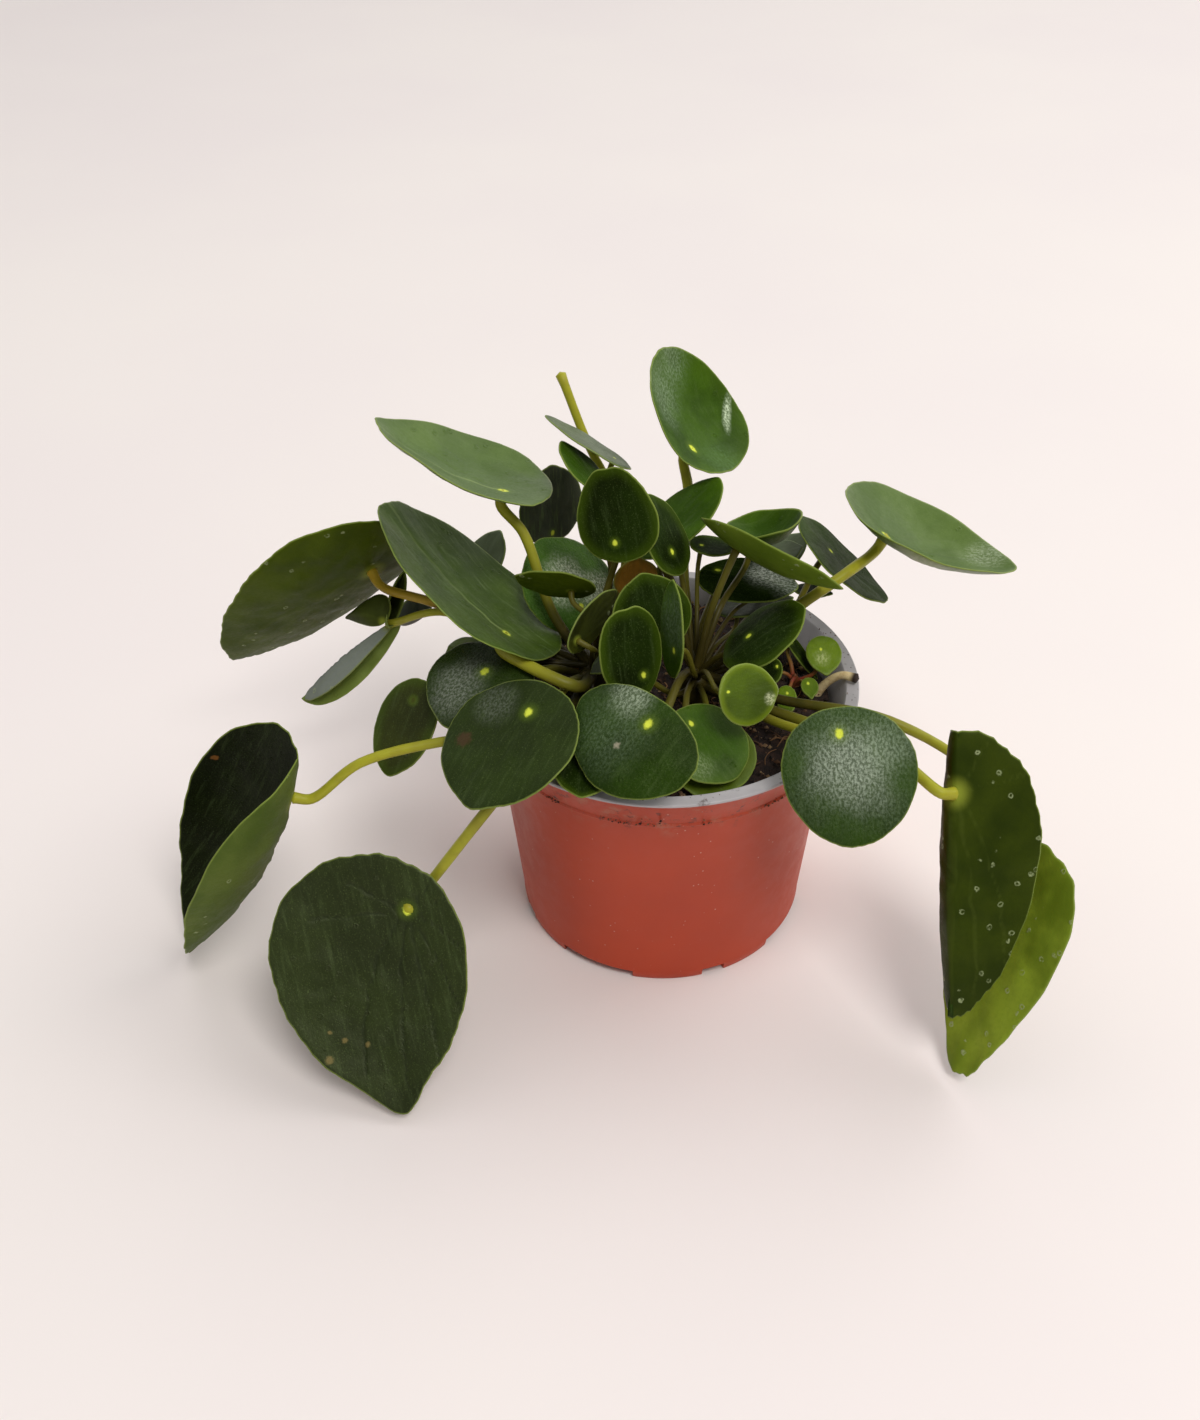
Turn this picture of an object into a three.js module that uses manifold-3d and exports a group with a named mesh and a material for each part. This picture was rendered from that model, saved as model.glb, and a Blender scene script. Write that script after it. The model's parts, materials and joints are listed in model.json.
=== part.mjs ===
// A potted pilea: round shield-shaped leaves on long stalks, in a thin plastic nursery pot.
// Millimetres, +Z up, origin at the middle of the pot's underside. The near side of the plant is -Y.

import * as THREE from 'three'
import { mergeVertices } from 'three/addons/utils/BufferGeometryUtils.js'
import Module from 'manifold-3d'

const wasm = await Module()
wasm.setup()

// Pot, a 12 cm nursery pot.
const POT_HEIGHT = 86.7
const LIP_RADIUS = 60
const LIP_WIDTH = 4.4
const LIP_THICKNESS = 1.2
const BAND_TOP_RADIUS = 56.8
const CREASE_RADIUS = 53.1
const CREASE_HEIGHT = 72.6
const CREASE_STEP = 0.5
const BASE_RADIUS = 46.3
const BASE_BEVEL = 0.8
const WALL = 1.1
const FLOOR_THICKNESS = 4.2
const POT_SIDES = 48

// Drain channels under the pot, cut from the rim of the base towards its flat middle.
const CHANNEL_HEIGHT = 3
const CHANNEL_INNER_RADIUS = 24
const WIDE_CHANNEL = { width: 25, firstAngle: -116 }
const NARROW_CHANNEL = { width: 7.5, firstAngle: -68 }
const CHANNEL_COUNT = 4
const DRAIN_RADIUS = 3
const DRAIN_PLACE = 36

// Soil, a root ball that fills the pot to a little below its lip.
const GAP = 0.3
const SOIL_LEVEL = 80
const SOIL_RELIEF = 0.9
const SOIL_SIDES = 36
const SOIL_RINGS = 7
const HOLE_DEPTH = 9

// Leaf blades. The edge waves by a share of the blade's width, and the tip's point spreads over an angle.
const BLADE = 0.8
const LARGE = { segments: 24, rings: 3 }
const MEDIUM = { segments: 18, rings: 2 }
const SMALL = { segments: 12, rings: 2 }
const TIP_SPREAD = 0.08
const EDGE_WAVE = 0.012

// Stems: the upright ones that carry the leaf stalks, the runner in the soil that joins the two big ones,
// and the offset, a young plant with thin reddish stalks of its own. A stalk turns up under its blade over
// the last share of its way, its approach.
const STALK_SIDES = 6
const STALK_STEPS = 7
const THIN_STALK = 1.1
const THIN_SIDES = 4
const APPROACH = 0.16
const stems = {
  right: { foot: [10, -2], radius: 5.2, top: 91 },
  left: { foot: [-22, 2], radius: 4.6, top: 90 },
  offset: { foot: [41, 5], radius: 1.6, top: 84 },
}
const RUNNER_DEPTH = 5
const RUNNER_RADIUS = 2.6

// A leaf stalk that lost its blade, and a dry one that leans from the soil onto the lip.
const bareStalk = { stem: 'right', radius: 1.4, points: [[1, 25, 108], [-22.5, 47.5, 136.5], [-33, 57, 160]] }
const dryStalk = { radius: 1.2, points: [[46, 1, 76], [50, 0.5, 84], [54.5, -1, 88.6], [59, -3, 89]] }

const colours = {
  pot: 0x9b4433,
  soil: 0x1d1411,
  stalk: 0x8f9236,
  red: 0x8c3a2c,
  dry: 0x8a6a3c,
  leaf: 0x2f5226,
  young: 0x6c8a22,
  grey: 0x55624f,
  old: 0x8a5a1c,
}

// Leaves. at is where the stalk meets the blade, tip is the far end of the blade, and base is the share
// of its length behind the stalk. roll turns the blade about the line from at to tip. crease and fold
// lift its left and right halves, sharply along the midrib and evenly across. cup lifts its edge, side
// moves its middle sideways off the line, and egg widens it behind the middle. via are points on the
// stalk's way, join is where it ends if that isn't just under at, and lobes are torn pieces of the same
// blade.
const leaves = [
  {
    name: 'leaf_top', at: [8, 48, 139.3], tip: [-7.2, 63.9, 162.7], width: 46.2, base: 0.274, side: -6.4,
    egg: 0.215, point: -0.7, roll: 19.6, cup: 6.3, size: LARGE, stem: 'right', stalk: 1.6,
    via: [[6, 28, 108], [7, 45, 127]],
  },
  {
    name: 'leaf_top_left', at: [-49, 23.8, 137.8], tip: [-89.3, 30.1, 153.5], width: 49.9, base: 0.221,
    side: -4, egg: 0.311, point: 1.3, roll: 14.5, cup: 5.4, size: LARGE, stem: 'left', stalk: 1.6,
    via: [[-34, 8, 104], [-43, 19, 126]],
  },
  {
    name: 'leaf_big_left', at: [-47.5, -3, 104], tip: [-88, 31.1, 126.6], width: 52.4, base: 0.213,
    side: -1.9, egg: 0.214, point: -1.1, roll: 27.4, cup: 4.2, size: LARGE, stem: 'left', stalk: 1.9,
    via: [[-25.9, -19.3, 97], [-41, -14.1, 101]],
  },
  {
    name: 'leaf_left', at: [-95, 35.7, 101.3], tip: [-139.6, 49.2, 51.8], width: 53.4, base: 0.263,
    side: 10.7, egg: 0.288, roll: 39, cup: 4.5, size: LARGE, stem: 'left', stalk: 1.5,
    via: [[-44, 14, 92], [-72.4, 15.1, 103]],
  },
  {
    name: 'leaf_left_torn', at: [-88.1, 20.4, 90.7], tip: [-119.2, 16.1, 64.1], width: 14.8, base: 0.092,
    side: 1.2, egg: -0.38, point: 0, roll: -138.3, cup: 2.3, crease: [59.6, 52.2], size: MEDIUM,
    stem: 'left', stalk: 1.2, via: [[-52, 12, 95], [-69.1, 11.1, 102]], join: [-85.3, 18.6, 92.6],
    lobes: [
      {
        at: [-88.1, 20.4, 90.7], tip: [-101.8, 23.8, 84.5], width: 9.1, base: 0.1, side: 4.5, egg: 0.634,
        roll: 138.9, cup: 3.5, size: SMALL,
      },
      {
        at: [-88.1, 20.4, 90.7], tip: [-85.8, 38.1, 97.5], width: 4.6, base: 0.1, side: 0.1, egg: -0.044,
        roll: 29.5, cup: 9.4, size: SMALL,
      },
      {
        at: [-88.1, 20.4, 90.7], tip: [-79.4, 29.7, 92.4], width: 9.2, base: 0.08, side: -1.2,
        egg: -0.603, point: -3.1, roll: -2.9, cup: 4.2, size: SMALL,
      },
    ],
  },
  {
    name: 'leaf_left_folded', at: [-108.4, -45.1, 74.3], tip: [-149.8, -42.3, 1.2], width: 61.9,
    base: 0.157, side: -4.1, egg: 0.271, roll: -8.7, cup: 7.5, fold: [42, 61], crease: [11.8, 12.3],
    size: LARGE, stem: 'left', stalk: 1.5,
    via: [[-43, -33, 90], [-64.4, -35.6, 88.3], [-87.6, -41.2, 84.5]],
  },
  {
    name: 'leaf_lower_left', at: [-73.5, -66.6, 50.3], tip: [-59.9, -100.8, 5.5], width: 56.9,
    base: 0.177, side: -14, egg: 0.144, point: 6.9, roll: 15.9, cup: 2.5, size: LARGE, stem: 'left',
    stalk: 1.6, via: [[-34, -40, 91.5], [-46, -57, 86]],
  },
  {
    name: 'leaf_front_left', at: [-38, -37.1, 100.7], tip: [-51.7, -64.1, 87.5], width: 41.5, base: 0.212,
    side: -1.4, egg: 0.045, point: 1.8, roll: 6.6, cup: -0.4, size: LARGE, stem: 'left', stalk: 1.3,
  },
  {
    name: 'leaf_front', at: [-3.8, -47.7, 105.7], tip: [-17.5, -60.4, 92.9], width: 40.5, base: 0.248,
    side: -1.4, egg: 0.158, point: 0.3, roll: -12.4, cup: -2.3, size: LARGE, stem: 'right', stalk: 1.3,
  },
  {
    name: 'leaf_front_right', at: [8.1, -33.9, 95], tip: [19.9, -47.8, 85.3], width: 26.8, base: 0.197,
    side: 0.6, egg: 0.018, point: 0.5, roll: -1.4, size: MEDIUM, stem: 'right', stalk: 1,
    via: [[7, -20, 94.5]],
  },
  {
    name: 'leaf_front_under', at: [16.4, -30.8, 87.9], tip: [12.4, -50.9, 81.4], width: 27.3, base: 0.214,
    side: -1.5, roll: -8.6, size: MEDIUM, stem: 'right', stalk: 0.9, colour: 'young',
  },
  {
    name: 'leaf_gloss_left', at: [-53.3, -13.3, 97.2], tip: [-65, -28.7, 89.9], width: 35.4, base: 0.331,
    side: 0.7, roll: -4.3, cup: -2, size: LARGE, stem: 'left', stalk: 1.2,
  },
  {
    name: 'leaf_brown_left', at: [-76, -12, 85], tip: [-83, -29, 69], width: 20, base: 0.2, roll: 0,
    size: MEDIUM, stem: 'left', stalk: 1, colour: 'old', via: [[-56, -1, 92], [-68, 1, 84]],
  },
  {
    name: 'leaf_right', at: [67.8, 27.9, 121.1], tip: [105.8, 21.3, 106.4], width: 47.8, base: 0.257,
    side: 2.5, egg: 0.217, point: 2.5, roll: -10.6, cup: 8.3, size: LARGE, stem: 'right', stalk: 1.7,
    via: [[42, 8, 109], [55, 14, 116]],
  },
  {
    name: 'leaf_right_round', at: [48.6, -48.2, 103.7], tip: [49.2, -72, 83.5], width: 37.7, base: 0.2,
    side: 2.9, egg: 0.096, point: 0.3, roll: -2.8, cup: -2.1, size: LARGE, stem: 'right', stalk: 1.4,
    via: [[33, -26, 90]],
  },
  {
    name: 'leaf_right_hanging', at: [81.5, -53, 87], tip: [84.1, -82.5, 25.1], width: 46.2, base: 0.195,
    side: -0.9, egg: 0.246, roll: -140.2, cup: 2.8, fold: [113.7, -9.6], crease: [24.8, 40.3],
    size: LARGE, stem: 'right', stalk: 1.6, via: [[33, -21, 90], [66, -43, 91]],
  },
  {
    name: 'leaf_right_low', at: [106.6, -44.4, 57.8], tip: [87, -81.4, 3.2], width: 38.4, base: 0.08,
    side: -3.5, egg: 0.503, point: -2, roll: -150.6, cup: -0.3, size: LARGE, stem: 'right', stalk: 1.5,
    via: [[33, -14, 89.5], [66, -26, 91], [93, -33, 76]],
  },
  {
    name: 'leaf_crown_front', at: [-14.4, 0.8, 134.2], tip: [-18.8, 7.7, 154.3], width: 23.9, base: 0.253,
    side: -2, egg: 0.233, point: -1.2, roll: -44, cup: 0.3, size: MEDIUM, stem: 'left', stalk: 1,
  },
  {
    name: 'leaf_crown_back', at: [1.9, 9.5, 125.7], tip: [-5.4, 18.4, 140.3], width: 20.3, base: 0.258,
    side: -0.1, roll: 20.1, size: MEDIUM, stem: 'right', stalk: 0.9,
  },
  {
    name: 'leaf_crown_right', at: [1.2, 26, 122.8], tip: [17.1, 41.2, 132.8], width: 19.7, base: 0.319,
    side: 0.5, roll: -3, size: MEDIUM, stem: 'right', stalk: 0.9,
  },
  {
    name: 'leaf_back_grey', at: [-37.4, 54.3, 104.7], tip: [-37, 56, 129], width: 23.9, base: 0.105,
    side: 0.2, roll: 47.8, size: MEDIUM, stem: 'left', stalk: 1, colour: 'grey',
    via: [[-30, 34, 88], [-37, 56, 91]],
  },
  {
    name: 'leaf_back_small', at: [-22.7, 27, 139.8], tip: [-32.6, 35.5, 148.3], width: 17.3, base: 0.217,
    side: -1.3, roll: 24.8, size: SMALL, stem: 'left', stalk: 0.8, via: [[-17, 27, 109]],
  },
  {
    name: 'leaf_back_pale', at: [-16, 37.4, 141.5], tip: [-37.2, 43.6, 152.8], width: 17.9, base: 0.172,
    side: -0.3, roll: 22.3, size: SMALL, stem: 'left', stalk: 0.8, colour: 'grey', via: [[-13, 29, 109]],
  },
  {
    name: 'leaf_back_left', at: [-62, 40, 97], tip: [-54, 50, 108], width: 16, base: 0.26, roll: 0,
    size: SMALL, stem: 'left', stalk: 0.8, colour: 'grey', via: [[-40, 26, 86], [-54, 34, 91]],
  },
  {
    name: 'leaf_cross', at: [21.4, 10.7, 126.3], tip: [50.7, -5.6, 120.1], width: 32.1, base: 0.271,
    side: -0.2, roll: -44.9, cup: 4, size: MEDIUM, stem: 'right', stalk: 1.1,
  },
  {
    name: 'leaf_cup', at: [26, 33.4, 115.2], tip: [42.9, 40.7, 117.4], width: 26.8, base: 0.223,
    side: -1.8, roll: -17.8, cup: 6.9, size: MEDIUM, stem: 'right', stalk: 1, via: [[17, 9, 106]],
  },
  {
    name: 'leaf_back_right', at: [52.8, 40, 107.3], tip: [72.4, 41.3, 89.5], width: 31, base: 0.351,
    side: -1.6, egg: 0.276, point: 0.6, roll: -0.2, cup: 0.4, size: MEDIUM, stem: 'right', stalk: 1,
    via: [[31, 8, 91], [41, 20, 99]],
  },
  {
    name: 'leaf_back_right_small', at: [37, 48, 99], tip: [46, 53, 106], width: 14, base: 0.26, roll: 0,
    size: SMALL, stem: 'right', stalk: 0.8, colour: 'grey', via: [[20, 18, 87], [32, 38, 90]],
  },
  {
    name: 'leaf_gloss_right', at: [16.9, 31.3, 105.1], tip: [42.4, 24, 105.7], width: 23.3, base: 0.15,
    side: -2.8, roll: 3.2, size: MEDIUM, stem: 'right', stalk: 0.9, via: [[11, 12, 95]],
  },
  {
    name: 'leaf_oval_right', at: [25, -11.5, 110.1], tip: [39.6, -8.9, 120.9], width: 24.6, base: 0.353,
    side: -1.6, egg: 0.029, point: 0.4, roll: -0.2, cup: -1.6, size: MEDIUM, stem: 'right', stalk: 0.9,
  },
  {
    name: 'leaf_yellow_right', at: [18.2, -35.5, 108], tip: [32.7, -28.4, 106.1], width: 17.8, base: 0.11,
    side: -1.7, roll: 56.4, size: SMALL, stem: 'right', stalk: 0.8, colour: 'young',
  },
  {
    name: 'leaf_middle', at: [-5.7, -24.7, 105.6], tip: [-8.2, -19.8, 126.1], width: 19.9, base: 0.29,
    side: 3.2, egg: -0.063, point: -1.1, roll: 2.5, cup: 0.3, size: MEDIUM, stem: 'right', stalk: 0.9,
    via: [[3, -16, 92]],
  },
  {
    name: 'leaf_middle_dark', at: [-2.9, -10.3, 108.9], tip: [-7.6, -1.5, 125], width: 24.5, base: 0.17,
    side: -1, roll: -6.1, size: MEDIUM, stem: 'right', stalk: 0.9,
  },
  {
    name: 'leaf_middle_narrow', at: [3.3, -20.7, 111.4], tip: [3.4, -16.6, 132.3], width: 13.9,
    base: 0.282, side: 1.9, roll: -60.6, size: MEDIUM, stem: 'right', stalk: 0.8, via: [[9, -16, 100]],
  },
  {
    name: 'leaf_old', at: [-9.6, 19.4, 106.6], tip: [-10, 22, 116], width: 15, base: 0.228, side: -1.2,
    roll: 7.4, size: SMALL, stem: 'left', stalk: 0.8, colour: 'old',
  },
  {
    name: 'leaf_flat', at: [-27.7, 1.5, 117.1], tip: [-44.6, -1.5, 123.3], width: 19.9, base: 0.236,
    side: 1.9, roll: 52.6, size: SMALL, stem: 'left', stalk: 0.8, via: [[-19, -2, 106]],
  },
  {
    name: 'leaf_crown_gloss', at: [-26, 17.6, 100.4], tip: [-39.8, 29.7, 117.2], width: 30.9, base: 0.22,
    side: -0.7, roll: -8.8, cup: -2, size: MEDIUM, stem: 'left', stalk: 1,
    via: [[-24, 15, 87.5], [-26, 22.5, 92.5]],
  },
  {
    name: 'leaf_folded_yellow', at: [-25.4, -15.3, 110.8], tip: [-14.3, 0.1, 118.5], width: 11.4,
    base: 0.128, side: 0.3, roll: -100, size: SMALL, stem: 'left', stalk: 0.8, colour: 'young',
  },
  {
    name: 'leaf_soil_small', at: [-16, -5, 97], tip: [-22, -8, 93], width: 8, base: 0.2, roll: 0,
    size: SMALL, stem: 'left', stalk: 0.7, colour: 'grey',
  },
  {
    name: 'leaf_front_dark', at: [-21, -42, 93], tip: [-22, -60, 89], width: 20, base: 0.2, roll: 0,
    size: SMALL, stem: 'left', stalk: 0.8,
  },
  {
    name: 'leaf_right_dark', at: [45.9, 37, 94.7], tip: [54.1, 32.9, 95.7], width: 8.2, base: 0.26,
    roll: 0, size: SMALL, stem: 'right', stalk: 0.7, via: [[30, 10, 88], [42, 23, 93]],
  },
  {
    name: 'plantlet_leaf_round', at: [48.6, 7.8, 91.8], tip: [49.4, -0.1, 87.6], width: 11.1, base: 0.295,
    side: 0.8, roll: 0.4, size: SMALL, stem: 'offset', stalk: 0.6, colour: 'young', via: [[47, 4, 86]],
  },
  {
    name: 'plantlet_leaf_folded', at: [39.7, 12.8, 90.7], tip: [47.5, 3.4, 83.4], width: 4.5, base: 0.198,
    side: 0.6, roll: -1.4, size: SMALL, stem: 'offset', stalk: 0.6,
  },
  {
    name: 'plantlet_leaf_near', at: [44.5, -1.7, 85.6], tip: [45, -7, 83.7], width: 5.5, base: 0.193,
    side: 0.4, roll: -1.8, size: SMALL, stem: 'offset', stalk: 0.5, colour: 'young', via: [[43, 2, 84]],
  },
  {
    name: 'plantlet_leaf_left', at: [37.9, -6.2, 85.2], tip: [37.7, -14.3, 82.7], width: 6.3, base: 0.194,
    side: -0.2, roll: -2.3, size: SMALL, stem: 'offset', stalk: 0.5, colour: 'young',
  },
  {
    name: 'plantlet_leaf_back', at: [35.2, 4.2, 87.6], tip: [34.2, -2.4, 84.2], width: 6.8, base: 0.217,
    side: -1.5, roll: 0.2, size: SMALL, stem: 'offset', stalk: 0.5,
  },
  {
    name: 'leaf_cross_small', at: [11.2, 23.2, 119.4], tip: [22.2, 24.8, 117.5], width: 10.6, base: 0.195,
    side: 0.4, roll: 5.3, size: SMALL, stem: 'right', stalk: 0.7,
  },
  {
    name: 'leaf_under_gloss', at: [23.6, 26.7, 94.7], tip: [41.2, 29.2, 96.9], width: 13.4, base: 0.266,
    side: -0.4, roll: -3.4, size: SMALL, stem: 'right', stalk: 0.7,
  },
  {
    name: 'leaf_cup_under', at: [36.7, 42.9, 105], tip: [44.4, 44.3, 106.6], width: 12.5, base: 0.289,
    side: -0.2, roll: 2.5, size: SMALL, stem: 'right', stalk: 0.7, colour: 'grey',
  },
  {
    name: 'leaf_behind_left', at: [-60.2, 2.5, 94.2], tip: [-66.9, -0.9, 94.4], width: 13.5, base: 0.42,
    side: 0.1, roll: 1.2, size: SMALL, stem: 'left', stalk: 0.7, via: [[-46, 6, 93]],
  },
]

const UP = new THREE.Vector3(0, 0, 1)

// A closed mesh as a solid that can be joined and cut.
function solid(geometry) {
  geometry.deleteAttribute('normal')
  if (geometry.attributes.uv) geometry.deleteAttribute('uv')
  const merged = mergeVertices(geometry, 1e-4)
  const mesh = new wasm.Mesh({
    numProp: 3,
    vertProperties: new Float32Array(merged.attributes.position.array),
    triVerts: new Uint32Array(merged.index.array),
  })
  return new wasm.Manifold(mesh)
}

// A solid back as a geometry.
function geometryOf(manifold) {
  const mesh = manifold.getMesh()
  const geometry = new THREE.BufferGeometry()
  geometry.setAttribute('position', new THREE.BufferAttribute(mesh.vertProperties, 3))
  geometry.setIndex(new THREE.BufferAttribute(mesh.triVerts, 1))
  return geometry
}

function closedGeometry(points, faces) {
  const geometry = new THREE.BufferGeometry()
  geometry.setAttribute('position', new THREE.Float32BufferAttribute(points.flatMap((p) => p.toArray()), 3))
  geometry.setIndex(faces)
  return geometry
}

function namedMesh(name, geometry, colour, roughness) {
  geometry.computeVertexNormals()
  const material = new THREE.MeshStandardMaterial({ color: colour, roughness, metalness: 0 })
  const mesh = new THREE.Mesh(geometry, material)
  mesh.name = name
  return mesh
}

// Repeatable random numbers from 0 to 1.
function randomSource(seed) {
  let state = seed
  return () => {
    state = (state * 16807) % 2147483647
    return state / 2147483647
  }
}

// The axes of a blade: along it to the tip, to its left, and out of its upper side.
function bladeAxes(leaf) {
  const at = new THREE.Vector3(...leaf.at)
  const tip = new THREE.Vector3(...leaf.tip)
  const along = tip.clone().sub(at)
  const reach = along.length()
  along.normalize()
  const left = UP.clone().cross(along).normalize().applyAxisAngle(along, THREE.MathUtils.degToRad(leaf.roll))
  const out = along.clone().cross(left)
  return { at, along, left, out, reach }
}

// How a flat strip lies once it is bent evenly: how far along, how far up, and its turn there.
function bent(distance, turnPerMm) {
  if (Math.abs(turnPerMm) < 1e-6) return [distance, 0, 0]
  const turn = distance * turnPerMm
  return [Math.sin(turn) / turnPerMm, (1 - Math.cos(turn)) / turnPerMm, turn]
}

// One blade as two alike skins a blade's thickness apart, joined round the edge.
function bladeGeometry(leaf, index) {
  const { at, along, left, out, reach } = bladeAxes(leaf)
  const { segments, rings } = leaf.size
  const length = reach / (1 - leaf.base)
  const middle = length * (0.5 - leaf.base)
  const halfWidth = leaf.width / 2
  const { cup = 0, side = 0, point = 1, egg = 0.06, fold = [0, 0], crease = [0, 0] } = leaf
  const wave = EDGE_WAVE * leaf.width
  const waves = 5 + (index % 3)
  const surface = []
  const normals = []

  function place(x, y, lift) {
    const half = y > 0 ? 0 : 1
    const sharp = THREE.MathUtils.degToRad(crease[half])
    const [curveAcross, curveUp, turn] = bent(Math.abs(y), THREE.MathUtils.degToRad(fold[half]) / halfWidth)
    const across = curveAcross * Math.cos(sharp) - curveUp * Math.sin(sharp)
    const up = curveAcross * Math.sin(sharp) + curveUp * Math.cos(sharp)
    return at.clone()
      .addScaledVector(along, x)
      .addScaledVector(left, Math.sign(y) * (across - lift * Math.sin(turn + sharp)))
      .addScaledVector(out, up + lift * Math.cos(turn + sharp))
  }

  const liftAt = (r, angle) => cup * r * r + wave * r ** 3 * Math.sin(waves * angle + index)
  const stalkAngle = Math.atan2(-side / halfWidth, -middle / (length / 2))
  const stalkLift = liftAt(Math.hypot(side / halfWidth, middle / (length / 2)), stalkAngle)

  function spot(ring, segment) {
    const r = ring / rings
    const angle = (segment / segments) * 2 * Math.PI
    const fromTip = angle > Math.PI ? angle - 2 * Math.PI : angle
    const extra = point * (Math.exp(-(fromTip ** 2) / TIP_SPREAD) - 1)
    const x = middle + r * ((length / 2) * Math.cos(angle) + extra)
    const y = r * halfWidth * Math.sin(angle) * (1 - egg * Math.cos(angle)) + side
    return [x, y, liftAt(r, angle) - stalkLift]
  }

  const flat = [[middle, side, -stalkLift]]
  for (let ring = 1; ring <= rings; ring += 1) {
    for (let segment = 0; segment < segments; segment += 1) flat.push(spot(ring, segment))
  }
  flat.forEach(([x, y, height]) => surface.push(place(x, y, height)))

  const skin = []
  const cornerAt = (ring, segment) => 1 + (ring - 1) * segments + ((segment + segments) % segments)
  for (let segment = 0; segment < segments; segment += 1) {
    skin.push([0, cornerAt(1, segment), cornerAt(1, segment + 1)])
    for (let ring = 1; ring < rings; ring += 1) {
      skin.push([cornerAt(ring, segment), cornerAt(ring + 1, segment), cornerAt(ring + 1, segment + 1)])
      skin.push([cornerAt(ring, segment), cornerAt(ring + 1, segment + 1), cornerAt(ring, segment + 1)])
    }
  }

  surface.forEach(() => normals.push(new THREE.Vector3()))
  skin.forEach(([a, b, c]) => {
    const face = surface[b].clone().sub(surface[a]).cross(surface[c].clone().sub(surface[a]))
    for (const corner of [a, b, c]) normals[corner].add(face)
  })
  normals.forEach((normal) => normal.normalize())

  const upper = surface.map((p, i) => p.clone().addScaledVector(normals[i], BLADE / 2))
  const lower = surface.map((p, i) => p.clone().addScaledVector(normals[i], -BLADE / 2))
  const faces = []
  const under = surface.length
  skin.forEach(([a, b, c]) => faces.push(a, b, c, under + a, under + c, under + b))
  for (let segment = 0; segment < segments; segment += 1) {
    const a = cornerAt(rings, segment)
    const b = cornerAt(rings, segment + 1)
    faces.push(a, under + a, under + b, a, under + b, b)
  }
  return closedGeometry([...upper, ...lower], faces)
}

// A stalk of one thickness through hand-set points, closed at both ends.
function stalkSolid(points, radius, steps = STALK_STEPS) {
  const sides = radius < THIN_STALK ? THIN_SIDES : STALK_SIDES
  const section = new THREE.Shape()
  for (let side = 0; side < sides; side += 1) {
    const angle = (side / sides) * 2 * Math.PI
    const method = side === 0 ? 'moveTo' : 'lineTo'
    section[method](radius * Math.cos(angle), radius * Math.sin(angle))
  }
  section.closePath()
  const path = new THREE.CatmullRomCurve3(points, false, 'centripetal')
  const options = { steps, bevelEnabled: false, extrudePath: path, curveSegments: 1 }
  return solid(new THREE.ExtrudeGeometry(section, options))
}

// The route of a leaf's stalk: out of its stem, past its own points, and up to the underside of the blade.
function stalkRoute(leaf, order) {
  const { at, out } = bladeAxes(leaf)
  const root = new THREE.Vector3(...stems[leaf.stem].foot, stems[leaf.stem].top - 1 - (order % 4) * 1.7)
  const passes = (leaf.via ?? []).map((p) => new THREE.Vector3(...p))
  const last = passes.length ? passes[passes.length - 1] : root
  const span = at.distanceTo(last)
  const inward = last.clone().sub(at).normalize().sub(out).normalize()
  const slant = Math.sqrt(1 - Math.min(1, inward.dot(out) ** 2))
  const under = at.clone().addScaledVector(out, -(BLADE / 2 + GAP + leaf.stalk * slant))
  const end = leaf.join ? new THREE.Vector3(...leaf.join) : under
  const meet = end.clone().addScaledVector(inward, APPROACH * span)
  if (passes.length === 0) {
    passes.push(root.clone().lerp(meet, 0.45).addScaledVector(UP, 0.12 * span))
  }
  return leaf.join ? [root, ...passes, end] : [root, ...passes, meet, end]
}

function cylinderAt(x, y, bottom, top, radius, sides) {
  const geometry = new THREE.CylinderGeometry(radius, radius, top - bottom, sides)
  geometry.rotateX(Math.PI / 2)
  geometry.translate(x, y, (top + bottom) / 2)
  return solid(geometry)
}

function vectors(points) {
  return points.map((p) => new THREE.Vector3(...p))
}

function runner(grow) {
  const level = SOIL_LEVEL - RUNNER_DEPTH
  const ends = vectors([[...stems.left.foot, level], [...stems.right.foot, level]])
  return stalkSolid(ends, RUNNER_RADIUS + grow, 1)
}

function stemSolid({ foot: [x, y], radius, top }, grow) {
  return cylinderAt(x, y, SOIL_LEVEL - HOLE_DEPTH - grow, top, radius + grow, 10)
}

function drySolid(grow) {
  return stalkSolid(vectors(dryStalk.points), dryStalk.radius + grow)
}

function union(pieces) {
  return pieces.reduce((sum, piece) => sum.add(piece))
}

function stalksOf(names) {
  return leaves
    .map((leaf, order) => [leaf, order])
    .filter(([leaf]) => names.includes(leaf.stem))
    .map(([leaf, order]) => stalkSolid(stalkRoute(leaf, order), leaf.stalk))
}

function stemsMesh() {
  const { foot, top } = stems[bareStalk.stem]
  const bare = stalkSolid(vectors([[...foot, top - 3], ...bareStalk.points]), bareStalk.radius)
  const upright = [stemSolid(stems.left, 0), stemSolid(stems.right, 0)]
  const body = union([...upright, runner(0), bare, ...stalksOf(['left', 'right'])])
  return namedMesh('stems', geometryOf(body), colours.stalk, 0.45)
}

function plantletStemsMesh() {
  const body = union([stemSolid(stems.offset, 0), ...stalksOf(['offset'])])
  return namedMesh('plantlet_stems', geometryOf(body), colours.red, 0.45)
}

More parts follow.
